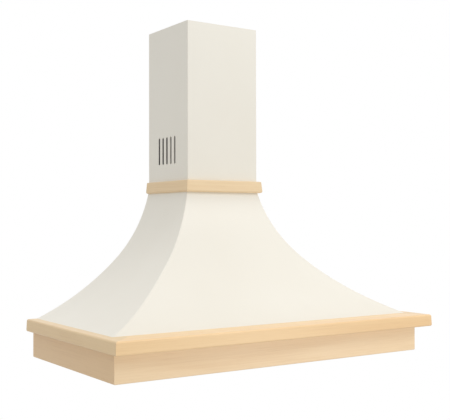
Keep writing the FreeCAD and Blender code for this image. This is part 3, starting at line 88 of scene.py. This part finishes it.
# ---------------------------------------------------------------- room
# A plain pale floor as far below the hood as a kitchen's is, an even white surround, and three soft lamps:
# one high at the front right, one overhead, and a weak one low at the front right, which shows the
# lacquer's sheen. Far from the hood the floor turns as white as the surround, so that no horizon shows, and
# from below it is clear.
FLOOR_DROP = 1.55
FLOOR_SIZE = 60.0
FLOOR_FADE = (2.6, 4.6)     # metres from the hood where the floor starts to turn white and is white
FLOOR_TONE = (0.78, 0.78, 0.775, 1)
SURROUND = 0.70
HOOD_MIDDLE = (0, -0.25, 0.35)
TRIM_MIDDLE = (0, -0.45, 0.05)
LAMPS = (                   # name, what it points at, the way to it, distance, size, watts
    ("key_lamp", HOOD_MIDDLE, (0.67, -1.0, 0.68), 3.4, 1.2, 18.5),
    ("top_lamp", HOOD_MIDDLE, (0.04, -0.12, 1.0), 3.2, 1.8, 23.0),
    ("low_lamp", TRIM_MIDDLE, (0.67, -1.0, -0.17), 2.2, 0.9, 5.5))
WHITE = (1, 1, 1, 1)


def add(tree, kind, feeds=(), **values):
    """One more node of a shader: values set its sockets, feeds links other nodes' outputs to them."""
    made = tree.nodes.new("ShaderNode" + kind)
    for socket, value in values.items():
        made.inputs[socket.replace("_", " ")].default_value = value
    for socket, source in dict(feeds).items():
        tree.links.new(source, made.inputs[socket])
    return made


def seen_straight(tree):
    """1 for what the camera sees straight, in a mirror or through glass, 0 for what only lights the hood."""
    path = add(tree, "LightPath")
    total = path.outputs["Is Camera Ray"]
    for ray in ("Is Glossy Ray", "Is Transmission Ray"):
        total = add(tree, "Math", {0: total, 1: path.outputs[ray]}).outputs[0]
    return total


floor = bpy.data.objects.new("floor", bpy.data.meshes.new("floor"))
plane = bmesh.new()
bmesh.ops.create_grid(plane, x_segments=2, y_segments=2, size=FLOOR_SIZE / 2)
bmesh.ops.translate(plane, vec=(0, 0, -FLOOR_DROP), verts=plane.verts)
plane.to_mesh(floor.data)
plane.free()
scene.collection.objects.link(floor)
floor_finish = bpy.data.materials.new("pale_floor")
floor_finish.use_nodes = True
tree = floor_finish.node_tree
tree.nodes.clear()
grain = add(tree, "TexNoise", {"Vector": add(tree, "TexCoord").outputs["Object"]}, Scale=3.0, Detail=4.0)
matt = add(tree, "BsdfDiffuse", Color=FLOOR_TONE)
soft = add(tree, "Bump", {"Height": grain.outputs["Fac"]}, Distance=0.002, Strength=0.2)
tree.links.new(soft.outputs["Normal"], matt.inputs["Normal"])
distance = add(tree, "VectorMath", {0: add(tree, "TexCoord").outputs["Object"]})
distance.operation = "LENGTH"
fade = add(tree, "MapRange", {"Value": distance.outputs["Value"]},
           From_Min=FLOOR_FADE[0], From_Max=FLOOR_FADE[1])
fade.interpolation_type = "SMOOTHSTEP"
shown = add(tree, "Math", {0: fade.outputs["Result"], 1: seen_straight(tree)})
shown.operation = "MULTIPLY"
blend = add(tree, "MixShader", {0: shown.outputs[0], 1: matt.outputs[0], 2: add(tree, "Emission").outputs[0]})
below = add(tree, "NewGeometry").outputs["Backfacing"]
clear = add(tree, "MixShader", {0: below, 1: blend.outputs[0], 2: add(tree, "BsdfTransparent").outputs[0]})
tree.links.new(clear.outputs[0], add(tree, "OutputMaterial").inputs["Surface"])
floor.data.materials.append(floor_finish)

world = bpy.data.worlds.new("surround")
scene.world = world
world.use_nodes = True
tree = world.node_tree
tree.nodes.clear()
strength = add(tree, "MapRange", {"Value": seen_straight(tree)}, To_Min=SURROUND, To_Max=1.0)
sky = add(tree, "Background", {"Strength": strength.outputs["Result"]}, Color=WHITE)
tree.links.new(sky.outputs[0], add(tree, "OutputWorld").inputs["Surface"])

for name, aim, way, distance, size, watts in LAMPS:
    lamp = bpy.data.objects.new(name, bpy.data.lights.new(name, "AREA"))
    lamp.data.shape = "DISK"
    lamp.data.size = size
    lamp.data.energy = watts
    lamp.location = Vector(aim) + Vector(way).normalized() * distance
    lamp.rotation_euler = (-Vector(way)).to_track_quat("-Z", "Y").to_euler()
    scene.collection.objects.link(lamp)

# ---------------------------------------------------------------- back panel
# One flat galvanised plate on the wall, as wide as the dome at each height, with a neck behind the chimney
# and four holes for the wall screws. The zinc's spangle is a mosaic of dull and bright grains about a
# centimetre across.
ZINC_DARK = (0.58, 0.59, 0.60, 1)
ZINC_LIGHT = (0.68, 0.69, 0.70, 1)
SPANGLES = 95.0             # a metre


def new_finish(name, **values):
    """A material with one Principled shader, and what is the same all over it."""
    finish = bpy.data.materials.new(name)
    finish.use_nodes = True
    shader = finish.node_tree.nodes["Principled BSDF"]
    for socket, value in values.items():
        shader.inputs[socket.replace("_", " ")].default_value = value
    return finish, finish.node_tree, shader


def along(tree, stretch, shift=(0, 0, 0)):
    """The piece's own place in metres, stretched for a pattern that runs one way."""
    place = add(tree, "TexCoord").outputs["Object"]
    return add(tree, "Mapping", {"Vector": place}, Scale=stretch, Location=shift).outputs["Vector"]


def grains(tree, scale, detail=2.0):
    """A cloudy pattern's values, alike in all directions."""
    noise = add(tree, "TexNoise", {"Vector": along(tree, (1, 1, 1))}, Scale=scale, Detail=detail)
    return noise.outputs["Fac"]


def tones(tree, pattern, stops):
    """Colours for a pattern's values, from places on a ramp with their colours."""
    ramp = add(tree, "ValToRGB", {"Fac": pattern})
    elements = ramp.color_ramp.elements
    while len(elements) < len(stops):
        elements.new(0.5)
    for element, (place, colour) in zip(elements, stops):
        element.position = place
        element.color = colour
    return ramp.outputs["Color"]


def between(tree, pattern, low, high):
    """A pattern's values, moved to run from low to high."""
    return add(tree, "MapRange", {"Value": pattern}, To_Min=low, To_Max=high).outputs["Result"]


def relief(tree, shader, pattern, depth, strength=1.0):
    bump = add(tree, "Bump", {"Height": pattern}, Distance=depth, Strength=strength)
    tree.links.new(bump.outputs["Normal"], shader.inputs["Normal"])


zinc, tree, shader = new_finish("galvanised_sheet", Metallic=1.0)
spangle = add(tree, "TexVoronoi", {"Vector": along(tree, (1, 1, 1))}, Scale=SPANGLES)
grey = add(tree, "RGBToBW", {"Color": spangle.outputs["Color"]}).outputs["Val"]
tree.links.new(tones(tree, grey, [(0.2, ZINC_DARK), (0.8, ZINC_LIGHT)]), shader.inputs["Base Color"])
tree.links.new(between(tree, grains(tree, 22.0, 5.0), 0.28, 0.52), shader.inputs["Roughness"])
relief(tree, shader, grey, 0.00005, 0.4)


def wear(node, finish):
    """A CAD node that keeps its own mesh and only takes its finish."""
    mesh = frame["nodes"][node].data
    mesh.materials.clear()
    mesh.materials.append(finish)


wear("back_panel", zinc)

# ---------------------------------------------------------------- dome
# Three sheets of 1.2 mm steel, each rolled to a long bend above its foot and a tighter one up to the
# chimney. They are welded along the front corners, ground round and powder coated cream. The foot and the
# top fold inwards.
DOME_TOP = (0.109, 0.2045)              # half width and depth under the chimney
SIDE_BENDS = (67.0, 0.702, 46.0)        # foot's angle from the vertical, lower bend, angle at the next bend
FRONT_BENDS = (53.0, 2.700, 51.3)
SHEET = 0.0012
CORNER_ROUND = 0.0022
FOLD_IN = 0.021
TOP_FOLD_IN = 0.013
RING_COUNT = 64
RING_CROWDING = 1.25        # over 1, so that the rings lie closer near the foot
SAME_RING = 0.00001         # metres within which the last ring meets the first
WELD_ANGLE = 0.5            # radians, less than the turn of the sheets at a weld
SHARP_ANGLE = math.radians(32)
SAME_PLACE = 0.000001
CREAM_LIGHT = (0.903, 0.868, 0.775, 1)
CREAM_DEEP = (0.888, 0.850, 0.754, 1)

cream, tree, shader = new_finish("cream_powder_coat", IOR=1.46, Coat_Weight=0.12, Coat_Roughness=0.22)
clouds = add(tree, "TexNoise", {"Vector": along(tree, (1, 1, 0.6))}, Scale=5.0, Detail=3.0)
colour = tones(tree, clouds.outputs["Fac"], [(0.35, CREAM_DEEP), (0.65, CREAM_LIGHT)])
tree.links.new(colour, shader.inputs["Base Color"])
tree.links.new(between(tree, clouds.outputs["Fac"], 0.36, 0.46), shader.inputs["Roughness"])
relief(tree, shader, grains(tree, 620.0, 1.5), 0.00012, 0.30)


def flare(foot, top, foot_z, top_z, bends):
    """The distance from the middle or the wall, at any height, of two arcs that meet in line."""
    foot_turn, bend, join_turn = math.radians(bends[0]), bends[1], math.radians(bends[2])
    low_centre = (foot + bend * math.cos(foot_turn), foot_z + bend * math.sin(foot_turn))
    out = (math.cos(join_turn), math.sin(join_turn))
    join = (low_centre[0] - bend * out[0], low_centre[1] - bend * out[1])
    run = (top - join[0], top_z - join[1])
    high_bend = (run[0] ** 2 + run[1] ** 2) / (2 * (out[0] * run[0] + out[1] * run[1]))
    high_centre = (join[0] + high_bend * out[0], join[1] + high_bend * out[1])

    def distance_at(z):
        centre, radius = (low_centre, bend) if z < join[1] else (high_centre, high_bend)
        return centre[0] - math.sqrt(radius ** 2 - (centre[1] - z) ** 2)
    return distance_at


def new_piece(name, mesh, finish, body, slot, *nodes):
    """Turns a bmesh into a smooth-shaded piece that rides on a body and stands for its CAD nodes."""
    piece = bpy.data.objects.new(name, bpy.data.meshes.new(name))
    mesh.to_mesh(piece.data)
    mesh.free()
    piece.data.shade_smooth()
    piece.data.set_sharp_from_angle(angle=SHARP_ANGLE)
    piece.data.materials.append(finish)
    scene.collection.objects.link(piece)
    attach(piece, body)
    if nodes:
        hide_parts(*nodes)
    return piece


def even_shading(piece):
    """Flat faces stay flat, and the small faces along an edge carry its roundness."""
    shading = piece.modifiers.new("even_shading", "WEIGHTED_NORMAL")
    shading.keep_sharp = True
    shading.weight = 90


def under(distance_at, z):
    """The inner face's distance where the outer face's is distance_at, for a sheet of even thickness."""
    lean = (distance_at(z - SHEET) - distance_at(z + SHEET)) / (2 * SHEET)
    return distance_at(z) - SHEET * math.hypot(1, lean)


foot_low, dome_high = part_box("dome_front_panel")
side_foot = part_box("dome_right_panel")[1].x
side_at = flare(side_foot, DOME_TOP[0], foot_low.z, dome_high.z, SIDE_BENDS)
front_at = flare(-foot_low.y, DOME_TOP[1], foot_low.z, dome_high.z, FRONT_BENDS)
shares = [(step / RING_COUNT) ** RING_CROWDING for step in range(RING_COUNT + 1)]
heights = [foot_low.z + (dome_high.z - foot_low.z) * share for share in shares]
inner_heights = {min(max(z, foot_low.z + SHEET), dome_high.z - SHEET) for z in heights}

# One ring after another, each with its half width, depth and height: up the outer face, in along the top
# fold, down the inner face, and in and out round the foot fold, back to the first.
outer = [(side_at(z), front_at(z), z) for z in heights]
inner = [(under(side_at, z), under(front_at, z), z) for z in sorted(inner_heights, reverse=True)]
top_fold = [(DOME_TOP[0] - TOP_FOLD_IN, DOME_TOP[1] - TOP_FOLD_IN, z)
            for z in (dome_high.z, dome_high.z - SHEET)]
foot_fold = [(side_foot - FOLD_IN, -foot_low.y - FOLD_IN, z) for z in (foot_low.z + SHEET, foot_low.z)]
half, depth, height = outer[0]
shell = bmesh.new()
outline = [(half, 0), (half, -depth), (-half, -depth), (-half, 0)]
corners = [shell.verts.new((x, y, height)) for x, y in outline]
ring = [shell.edges.new(pair) for pair in zip(corners, corners[1:])]
for next_half, next_depth, next_height in outer[1:] + top_fold + inner + foot_fold + outer[:1]:
    made = bmesh.ops.extrude_edge_only(shell, edges=ring)["geom"]
    moved = [v for v in made if isinstance(v, bmesh.types.BMVert)]
    bmesh.ops.scale(shell, vec=(next_half / half, next_depth / depth, 1), verts=moved)
    bmesh.ops.translate(shell, vec=(0, 0, next_height - height), verts=moved)
    ring = [e for e in made if isinstance(e, bmesh.types.BMEdge) and set(e.verts) <= set(moved)]
    half, depth, height = next_half, next_depth, next_height
bmesh.ops.remove_doubles(shell, verts=shell.verts, dist=SAME_RING)
bmesh.ops.holes_fill(shell, edges=[e for e in shell.edges if e.is_boundary], sides=0)
bmesh.ops.recalc_face_normals(shell, faces=shell.faces)
welds = [e for e in shell.edges if e.calc_face_angle() > WELD_ANGLE and e.is_convex
         and abs(e.verts[0].co.z - e.verts[1].co.z) > SAME_PLACE and abs(e.verts[0].co.y) > SAME_PLACE]
bmesh.ops.bevel(shell, geom=welds, offset=CORNER_ROUND, offset_type="OFFSET", segments=4, profile=0.5,
                affect="EDGES", material=-1)
even_shading(new_piece("dome_shell", shell, cream, "hood", "cream_paint",
                       "dome_front_panel", "dome_left_panel", "dome_right_panel"))

# ---------------------------------------------------------------- wooden trim
# Pale solid wood under clear satin lacquer. The moulding lies round the dome's foot, the fascia hangs under
# it on dowels, and a narrow band closes the joint with the chimney. The grain runs along each board to its
# mitres. The boards' tones carry painted light: the front boards are painted lighter and the left ones
# darker.
MITRE_EASE = 0.0004
# Each board's base tone: lighter on the front boards as painted light, darker on the left boards as painted
# shade.
BOARD_TONES_WITH_PAINTED_LIGHT = {
    "moulding_front": (0.955, 0.668, 0.358),
    "moulding_left": (0.828, 0.600, 0.325),
    "moulding_right": (0.870, 0.625, 0.340),
    "fascia_front": (0.975, 0.740, 0.462),
    "fascia_left": (0.798, 0.545, 0.285),
    "fascia_right": (0.880, 0.640, 0.380),
    "band_front": (0.875, 0.667, 0.408),
    "band_left": (0.890, 0.672, 0.400),
    "band_right": (0.880, 0.670, 0.405)}
DEEP_SHARE = (0.94, 0.905, 0.86)
LIGHT_SHARE = (1.02, 1.035, 1.06)
FIGURE = (13.0, 0.9)            # how closely a pattern repeats across the grain, and along it
STREAKS = (190.0, 2.2)
PORES = (1300.0, 20.0)
FLAT_ANGLE = math.radians(0.4)


def wood(name, grain_axis, shift, tone):
    """A board's finish: broad soft figure, fine streaks and closed pores, all stretched along the grain."""
    finish, tree, shader = new_finish(name, Coat_Weight=0.35, Coat_Roughness=0.28, IOR=1.50)

    def grown(closeness, **values):
        stretch = [closeness[0]] * 3
        stretch[grain_axis] = closeness[1]
        return add(tree, "TexNoise", {"Vector": along(tree, stretch, shift)}, **values).outputs["Fac"]
    figure = grown(FIGURE, Scale=1.6, Detail=3.0, Distortion=0.9)
    streaks = grown(STREAKS, Scale=1.5, Detail=3.5, Roughness=0.6)
    pores = grown(PORES, Scale=1.0, Detail=1.0)
    total = add(tree, "Math", {0: streaks, 2: figure})
    total.operation = "MULTIPLY_ADD"
    total.inputs[1].default_value = 0.55
    deep = [part * share for part, share in zip(tone, DEEP_SHARE)] + [1]
    light = [part * share for part, share in zip(tone, LIGHT_SHARE)] + [1]
    base = tones(tree, total.outputs[0], [(0.55, deep), (0.76, list(tone) + [1]), (0.98, light)])
    specks = tones(tree, pores, [(0.26, (0.945, 0.925, 0.895, 1)), (0.46, (1, 1, 1, 1))])
    mixed = add(tree, "MixRGB", {"Color1": base, "Color2": specks}, Fac=1.0)
    mixed.blend_type = "MULTIPLY"
    tree.links.new(mixed.outputs["Color"], shader.inputs["Base Color"])
    tree.links.new(between(tree, streaks, 0.38, 0.54), shader.inputs["Roughness"])
    relief(tree, shader, pores, 0.00004, 0.25)
    return finish


def eased(node, finish, slot, ease, name):
    """A CAD node's own shape with its triangles joined, its sharp edges eased and smooth shading."""
    source = frame["nodes"][node]
    joined = bmesh.new()
    joined.from_mesh(source.data)
    bmesh.ops.remove_doubles(joined, verts=joined.verts, dist=SAME_PLACE)
    bmesh.ops.dissolve_limit(joined, angle_limit=FLAT_ANGLE, verts=joined.verts, edges=joined.edges)
    piece = new_piece(name, joined, finish, source["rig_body"], slot, node)
    if ease:
        edge = piece.modifiers.new("eased_edges", "BEVEL")
        edge.width = ease
        edge.segments = 2
        edge.limit_method = "ANGLE"
        edge.angle_limit = SHARP_ANGLE
    even_shading(piece)
    return piece


for group, place in (("moulding", 0.0), ("fascia", 3.1), ("band", 7.7)):
    for number, (part, grain_axis) in enumerate((("front", 0), ("left", 1), ("right", 1))):
        board = "%s_%s" % (group, part)
        shift = (place + number, place - number, place)
        finish = wood("lacquered_wood_" + board, grain_axis, shift, BOARD_TONES_WITH_PAINTED_LIGHT[board])
        eased(board, finish, "wood", MITRE_EASE, board + "_board")
dowel_wood = wood("dowel_wood", 2, (0.3, 0.2, 0.1), (0.80, 0.61, 0.38))
wear("fascia_dowels", dowel_wood)

# ---------------------------------------------------------------- chimney
# Two folded steel channels that slide in each other: the cover stands on the dome, and the extension inside
# it is drawn up to the ceiling and screwed to a galvanised strap there. Both are slotted at the sides, and
# powder coated outside. Their inner faces are painted dark grey as painted shade, so that the slots look
# dark.
SLOT_EASE = 0.0003
# Dark greys for the channels' inner faces: painted shade that darkens the inside seen through the slots.
INSIDE_SHADE_DARK = (0.17, 0.165, 0.15, 1)
INSIDE_SHADE_LIGHT = (0.23, 0.22, 0.20, 1)


def toned(tree, shader, pattern, dark, light, smooth, rough):
    """Two tones and two roughnesses of a finish, mixed by a pattern."""
    tree.links.new(tones(tree, pattern, [(0.3, dark), (0.7, light)]), shader.inputs["Base Color"])
    tree.links.new(between(tree, pattern, smooth, rough), shader.inputs["Roughness"])


inside_shade, tree, shader = new_finish("painted_shade_inside", IOR=1.45)
toned(tree, shader, grains(tree, 34.0, 4.0), INSIDE_SHADE_DARK, INSIDE_SHADE_LIGHT, 0.60, 0.75)
for node in ("chimney_cover", "chimney_extension"):
    sheet = eased(node, cream, "cream_paint", SLOT_EASE, node + "_sheet")
    # The second finish, the dark grey painted shade, goes on the inner faces below.
    sheet.data.materials.append(inside_shade)
    low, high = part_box(node)
    axis = (low + high) / 2
    for face in sheet.data.polygons:
        outwards = face.center - axis
        outwards.z = 0
        if abs(face.normal.z) < 0.5 and face.normal.dot(outwards) < 0:
            face.material_index = 1
wear("chimney_bracket", zinc)

# ---------------------------------------------------------------- underside pan
# The pan closes the hood from below: a flat sheet with two bays for the filters and a hole for each
# fitting. Rails on edge are welded round its rim and screwed into the fascia, and lower strips guide the
# filters. All are powder coated.
PAN_EASE = 0.0003

eased("underside_pan", cream, "cream_paint", PAN_EASE, "underside_pan_sheet")
eased("pan_rails", cream, "cream_paint", PAN_EASE, "pan_rail_strips")
eased("bay_guides", cream, "cream_paint", PAN_EASE, "bay_guide_strips")

# ---------------------------------------------------------------- grease filters
# Each filter is a folded aluminium frame round a pack of expanded aluminium mesh, which can be washed. The
# mesh is slit and stretched to diamonds, and its layers lie across each other. A black latch slides in the
# front rail.
FRAME_EASE = 0.0003
STRAND = 0.0010
DIAMOND = Vector((0.0150, 0.0085, 0))    # long and short way of a diamond
LAYER_COUNT = 3
ALUMINIUM_DARK = (0.66, 0.67, 0.68, 1)
ALUMINIUM_LIGHT = (0.80, 0.81, 0.82, 1)


def brushed(name, dark, light, brush_axis, roughness):
    """Metal drawn through a brush along one axis."""
    finish, tree, shader = new_finish(name, Metallic=1.0)
    stretch = [700.0, 700.0, 700.0]
    stretch[brush_axis] = 5.0
    lines = add(tree, "TexNoise", {"Vector": along(tree, stretch)}, Scale=1.0, Detail=2.0).outputs["Fac"]
    toned(tree, shader, lines, dark, light, roughness - 0.07, roughness + 0.07)
    relief(tree, shader, lines, 0.00003, 0.4)
    return finish


frame_metal = brushed("folded_aluminium", ALUMINIUM_DARK, ALUMINIUM_LIGHT, 0, 0.34)
mesh_metal = brushed("expanded_aluminium", ALUMINIUM_DARK, ALUMINIUM_LIGHT, 1, 0.30)


def moulded(name, dark, light, roughness, grain=900.0):
    """Injection-moulded plastic with a fine spark-eroded texture."""
    finish, tree, shader = new_finish(name, IOR=1.50)
    toned(tree, shader, grains(tree, 28.0), dark, light, roughness - 0.05, roughness + 0.05)
    relief(tree, shader, grains(tree, grain), 0.00010, 0.35)
    return finish


latch_black = moulded("latch_plastic", (0.028, 0.028, 0.030, 1), (0.038, 0.038, 0.040, 1), 0.42)
for side in ("left", "right"):
    eased("filter_frame_" + side, frame_metal, "filter_aluminium", FRAME_EASE,
          "filter_frame_%s_folded" % side)
    eased("filter_latch_" + side, latch_black, "latch_plastic", FRAME_EASE,
          "filter_latch_%s_moulded" % side)
    low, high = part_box("filter_mesh_" + side)
    across = int((high.x - low.x) / DIAMOND.x) + int((high.y - low.y) / DIAMOND.y) + 2
    pack = bmesh.new()
    for layer in range(LAYER_COUNT):
        net = bmesh.new()
        bmesh.ops.create_grid(net, x_segments=across, y_segments=across, size=across * math.sqrt(0.5) / 2)
        bmesh.ops.rotate(net, matrix=Matrix.Rotation(math.radians(45), 3, "Z"), verts=net.verts)
        bmesh.ops.scale(net, vec=(DIAMOND.x, DIAMOND.y, 1), verts=net.verts)
        centre = (low + high) / 2 + DIAMOND * (layer / LAYER_COUNT)
        centre.z = low.z + (high.z - low.z) * (layer + 0.5) / LAYER_COUNT
        bmesh.ops.translate(net, vec=centre, verts=net.verts)
        for corner, normal in ((low, (-1, 0, 0)), (low, (0, -1, 0)), (high, (1, 0, 0)), (high, (0, 1, 0))):
            bmesh.ops.bisect_plane(net, geom=net.verts[:] + net.edges[:] + net.faces[:], plane_co=corner,
                                   plane_no=normal, clear_outer=True)
        bmesh.ops.wireframe(net, faces=net.faces, thickness=STRAND, use_replace=True, use_boundary=True)
        sheet = bpy.data.meshes.new("layer")
        net.to_mesh(sheet)
        net.free()
        pack.from_mesh(sheet)
        bpy.data.meshes.remove(sheet)
    bmesh.ops.recalc_face_normals(pack, faces=pack.faces)
    new_piece("filter_mesh_%s_layers" % side, pack, mesh_metal, "filter_" + side, "filter_mesh",
              "filter_mesh_" + side)

# ---------------------------------------------------------------- controls
# A black plastic strip screwed up against the pan, with five light grey push buttons in it: the lamp, off,
# and three speeds. The switch block stands on the strip's back, inside the pan.
BUTTON_EASE = 0.0003

strip_black = moulded("control_strip_plastic", (0.020, 0.020, 0.021, 1), (0.028, 0.028, 0.029, 1), 0.38)
button_grey = moulded("button_plastic", (0.50, 0.50, 0.49, 1), (0.56, 0.56, 0.55, 1), 0.34, 1500.0)
block_black = moulded("housing_plastic", (0.050, 0.051, 0.054, 1), (0.066, 0.067, 0.070, 1), 0.55)
eased("control_panel", strip_black, "panel_plastic", BUTTON_EASE, "control_strip")
eased("switch_housing", block_black, "housing_plastic", BUTTON_EASE, "switch_block")
for use in ("light", "off", "low", "medium", "high"):
    eased("button_" + use, button_grey, "button_plastic", 0.0, "button_%s_cap" % use)

# ---------------------------------------------------------------- lamps
# Two small lamps in the pan: a bright turned bezel, a frosted glass disc, a galvanised can and an opal
# bulb.
bright, tree, shader = new_finish("bright_trim", Metallic=1.0)
toned(tree, shader, grains(tree, 160.0, 3.0), (0.76, 0.77, 0.78, 1), (0.84, 0.84, 0.84, 1), 0.10, 0.20)

frosted, tree, shader = new_finish("frosted_glass", Transmission_Weight=0.85, IOR=1.50)
etch = grains(tree, 1300.0)
toned(tree, shader, etch, (0.90, 0.91, 0.90, 1), (0.96, 0.97, 0.96, 1), 0.42, 0.58)
relief(tree, shader, etch, 0.00010, 0.5)

opal, tree, shader = new_finish("opal_glass", IOR=1.50, Coat_Weight=0.3)
toned(tree, shader, grains(tree, 90.0), (0.90, 0.88, 0.82, 1), (0.94, 0.93, 0.88, 1), 0.22, 0.32)

eased("lamp_bezels", bright, "bright_trim", 0.0, "lamp_bezel_rings")
eased("lamp_lenses", frosted, "lamp_lens", 0.0004, "lamp_glasses")
eased("lamp_housings", zinc, "galvanised_steel", 0.0, "lamp_cans")
eased("lamp_bulbs", opal, "lamp_bulb", 0.0, "lamp_bulb_glasses")

# ---------------------------------------------------------------- blower
# A scroll of two dark plastic shells, screwed together by ears round its edge, with a ring grille in its
# inlet. The impeller is a drum of thin blades on the shaft of a cast aluminium motor, which a bracket holds
# on the back shell.
STEEL_DARK = (0.50, 0.50, 0.51, 1)
STEEL_LIGHT = (0.60, 0.60, 0.61, 1)

scroll_black = moulded("scroll_plastic", (0.060, 0.062, 0.066, 1), (0.080, 0.082, 0.086, 1), 0.52, 700.0)
drum_grey = moulded("impeller_plastic", (0.40, 0.41, 0.42, 1), (0.46, 0.47, 0.48, 1), 0.46, 1100.0)

cast, tree, shader = new_finish("cast_aluminium", Metallic=0.9)
sand = grains(tree, 420.0, 4.0)
toned(tree, shader, sand, (0.46, 0.47, 0.48, 1), (0.58, 0.59, 0.60, 1), 0.42, 0.60)
relief(tree, shader, sand, 0.00025, 0.6)

ground_steel = brushed("ground_steel", STEEL_DARK, STEEL_LIGHT, 1, 0.24)
eased("scroll_front_shell", scroll_black, "blower_plastic", 0.0, "scroll_front_moulding")
eased("scroll_rear_shell", scroll_black, "blower_plastic", 0.0, "scroll_rear_moulding")
eased("inlet_grille", scroll_black, "blower_plastic", 0.0003, "inlet_grille_moulding")
eased("impeller", drum_grey, "impeller_plastic", 0.0, "impeller_drum")
eased("motor_shaft", ground_steel, "shaft_steel", 0.0004, "motor_shaft_rod")
eased("motor", cast, "motor_aluminium", 0.0, "motor_can")
eased("motor_bracket", zinc, "galvanised_steel", 0.0, "motor_bracket_ring")

# ---------------------------------------------------------------- outlet
# The square plate on the scroll's neck sits on two galvanised angles. Its collar takes a 150 mm duct, and
# two half-round flaps on one steel pin fall shut when the blower stops. All but the pin is moulded plastic.
eased("outlet_collar", scroll_black, "blower_plastic", 0.0, "outlet_collar_moulding")
pin_steel = brushed("pin_steel", STEEL_DARK, STEEL_LIGHT, 0, 0.24)
eased("damper_pin", pin_steel, "shaft_steel", 0.0004, "damper_pin_rod")
eased("damper_flap_front", scroll_black, "blower_plastic", 0.0, "damper_flap_front_moulding")
eased("damper_flap_rear", scroll_black, "blower_plastic", 0.0, "damper_flap_rear_moulding")
wear("blower_brackets", zinc)

# ---------------------------------------------------------------- electrics
# A black junction box on the back panel with a gland for the supply lead, and the motor's white capacitor.
capacitor_white = moulded("capacitor_plastic", (0.76, 0.76, 0.74, 1), (0.82, 0.82, 0.80, 1), 0.24, 500.0)
eased("junction_box", block_black, "housing_plastic", 0.0006, "junction_box_moulding")
eased("cable_gland", block_black, "housing_plastic", 0.0004, "cable_gland_moulding")
eased("capacitor", capacitor_white, "capacitor_plastic", 0.0, "capacitor_can")

# ---------------------------------------------------------------- screws, rivets and nut
# Zinc-plated pan-head screws with a cross recess, driven from inside where they hold the trim. The rivets
# have the same low head without the recess. Each takes its place and direction from the solid in the CAD
# model.
HEAD_R = 0.0040
HEAD_T = 0.0024
SHANK_R = 0.0019
RECESS = 0.0044             # across the cross
RECESS_W = 0.0010
RECESS_DEPTH = 0.0014
TURN_STEPS = 20

plated, tree, shader = new_finish("zinc_plate", Metallic=1.0)
toned(tree, shader, grains(tree, 240.0, 3.0), (0.66, 0.65, 0.58, 1), (0.76, 0.75, 0.70, 1), 0.20, 0.34)


def fastener_places(node):
    """For each fastener of a CAD node: its head's seat, the way its shank points and the shank's length."""
    joined = bmesh.new()
    joined.from_mesh(frame["nodes"][node].data)
    bmesh.ops.remove_doubles(joined, verts=joined.verts, dist=SAME_PLACE)
    places = []
    waiting = set(joined.verts)
    for first in joined.verts:
        if first not in waiting:
            continue
        waiting.remove(first)
        found = [first]
        for vert in found:
            for other in (edge.other_vert(vert) for edge in vert.link_edges):
                if other in waiting:
                    waiting.remove(other)
                    found.append(other)
        low = Vector([min(v.co[axis] for v in found) for axis in range(3)])
        high = Vector([max(v.co[axis] for v in found) for axis in range(3)])
        axis = max(range(3), key=lambda a: abs(high[a] - low[a] - 2 * HEAD_R))
        centre = (low + high) / 2
        offsets = [v.co - centre for v in found]
        head = max(offsets, key=lambda offset: offset.length_squared - offset[axis] ** 2)
        sign = -1.0 if head[axis] > 0 else 1.0
        way = Vector((0, 0, 0))
        way[axis] = sign
        seat = centre.copy()
        seat[axis] = (low[axis] if sign > 0 else high[axis]) + sign * HEAD_T
        places.append((seat, way, high[axis] - low[axis] - HEAD_T))
    joined.free()
    return places


def fastener(length, recessed):
    """One fastener about the origin, its head above z = 0 and its shank below."""
    turned = bmesh.new()
    profile = [(0, HEAD_T), (HEAD_R * 0.45, HEAD_T * 0.97), (HEAD_R * 0.8, HEAD_T * 0.78),
               (HEAD_R * 0.97, HEAD_T * 0.4), (HEAD_R, 0), (SHANK_R, 0), (SHANK_R, -length + SHANK_R),
               (0, -length)]
    line = [turned.verts.new((r, 0, z)) for r, z in profile]
    edges = [turned.edges.new(pair) for pair in zip(line, line[1:])]
    bmesh.ops.spin(turned, geom=line + edges, cent=(0, 0, 0), axis=(0, 0, 1), angle=2 * math.pi,
                   steps=TURN_STEPS, use_merge=True, use_duplicate=False)
    bmesh.ops.remove_doubles(turned, verts=turned.verts, dist=SAME_PLACE)
    bmesh.ops.recalc_face_normals(turned, faces=turned.faces)
    body = bpy.data.objects.new("fastener", bpy.data.meshes.new("fastener"))
    turned.to_mesh(body.data)
    turned.free()
    scene.collection.objects.link(body)
    if recessed:
        cross = bmesh.new()
        for size in ((RECESS, RECESS_W, 1), (RECESS_W, RECESS, 1)):
            bar = bmesh.ops.create_cube(cross, size=1.0)
            bmesh.ops.scale(cross, vec=(size[0], size[1], RECESS_DEPTH * 2), verts=bar["verts"])
            bmesh.ops.translate(cross, vec=(0, 0, HEAD_T), verts=bar["verts"])
        cutter = bpy.data.objects.new("cross", bpy.data.meshes.new("cross"))
        cross.to_mesh(cutter.data)
        cross.free()
        scene.collection.objects.link(cutter)
        cut = body.modifiers.new("recess", "BOOLEAN")
        cut.object = cutter
        cut.solver = "EXACT"
        cut.use_self = True
        bpy.context.view_layer.update()
        shape = bpy.data.meshes.new_from_object(body.evaluated_get(bpy.context.evaluated_depsgraph_get()))
        bpy.data.objects.remove(cutter)
    else:
        shape = body.data.copy()
    bpy.data.objects.remove(body)
    return shape


for node in ("rear_rivets", "dome_screws", "band_screws", "pan_screws", "panel_screws", "blower_screws",
             "extension_screws"):
    group = bmesh.new()
    for seat, way, length in fastener_places(node):
        shape = fastener(length, recessed=node != "rear_rivets")
        turned_to = Matrix.Translation(seat) @ (-way).to_track_quat("Z", "Y").to_matrix().to_4x4()
        shape.transform(turned_to)
        group.from_mesh(shape)
        bpy.data.meshes.remove(shape)
    new_piece(node + "_plated", group, plated, frame["nodes"][node]["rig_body"], "zinc_screws", node)
eased("hub_nut", plated, "zinc_screws", 0.0004, "hub_nut_plated")
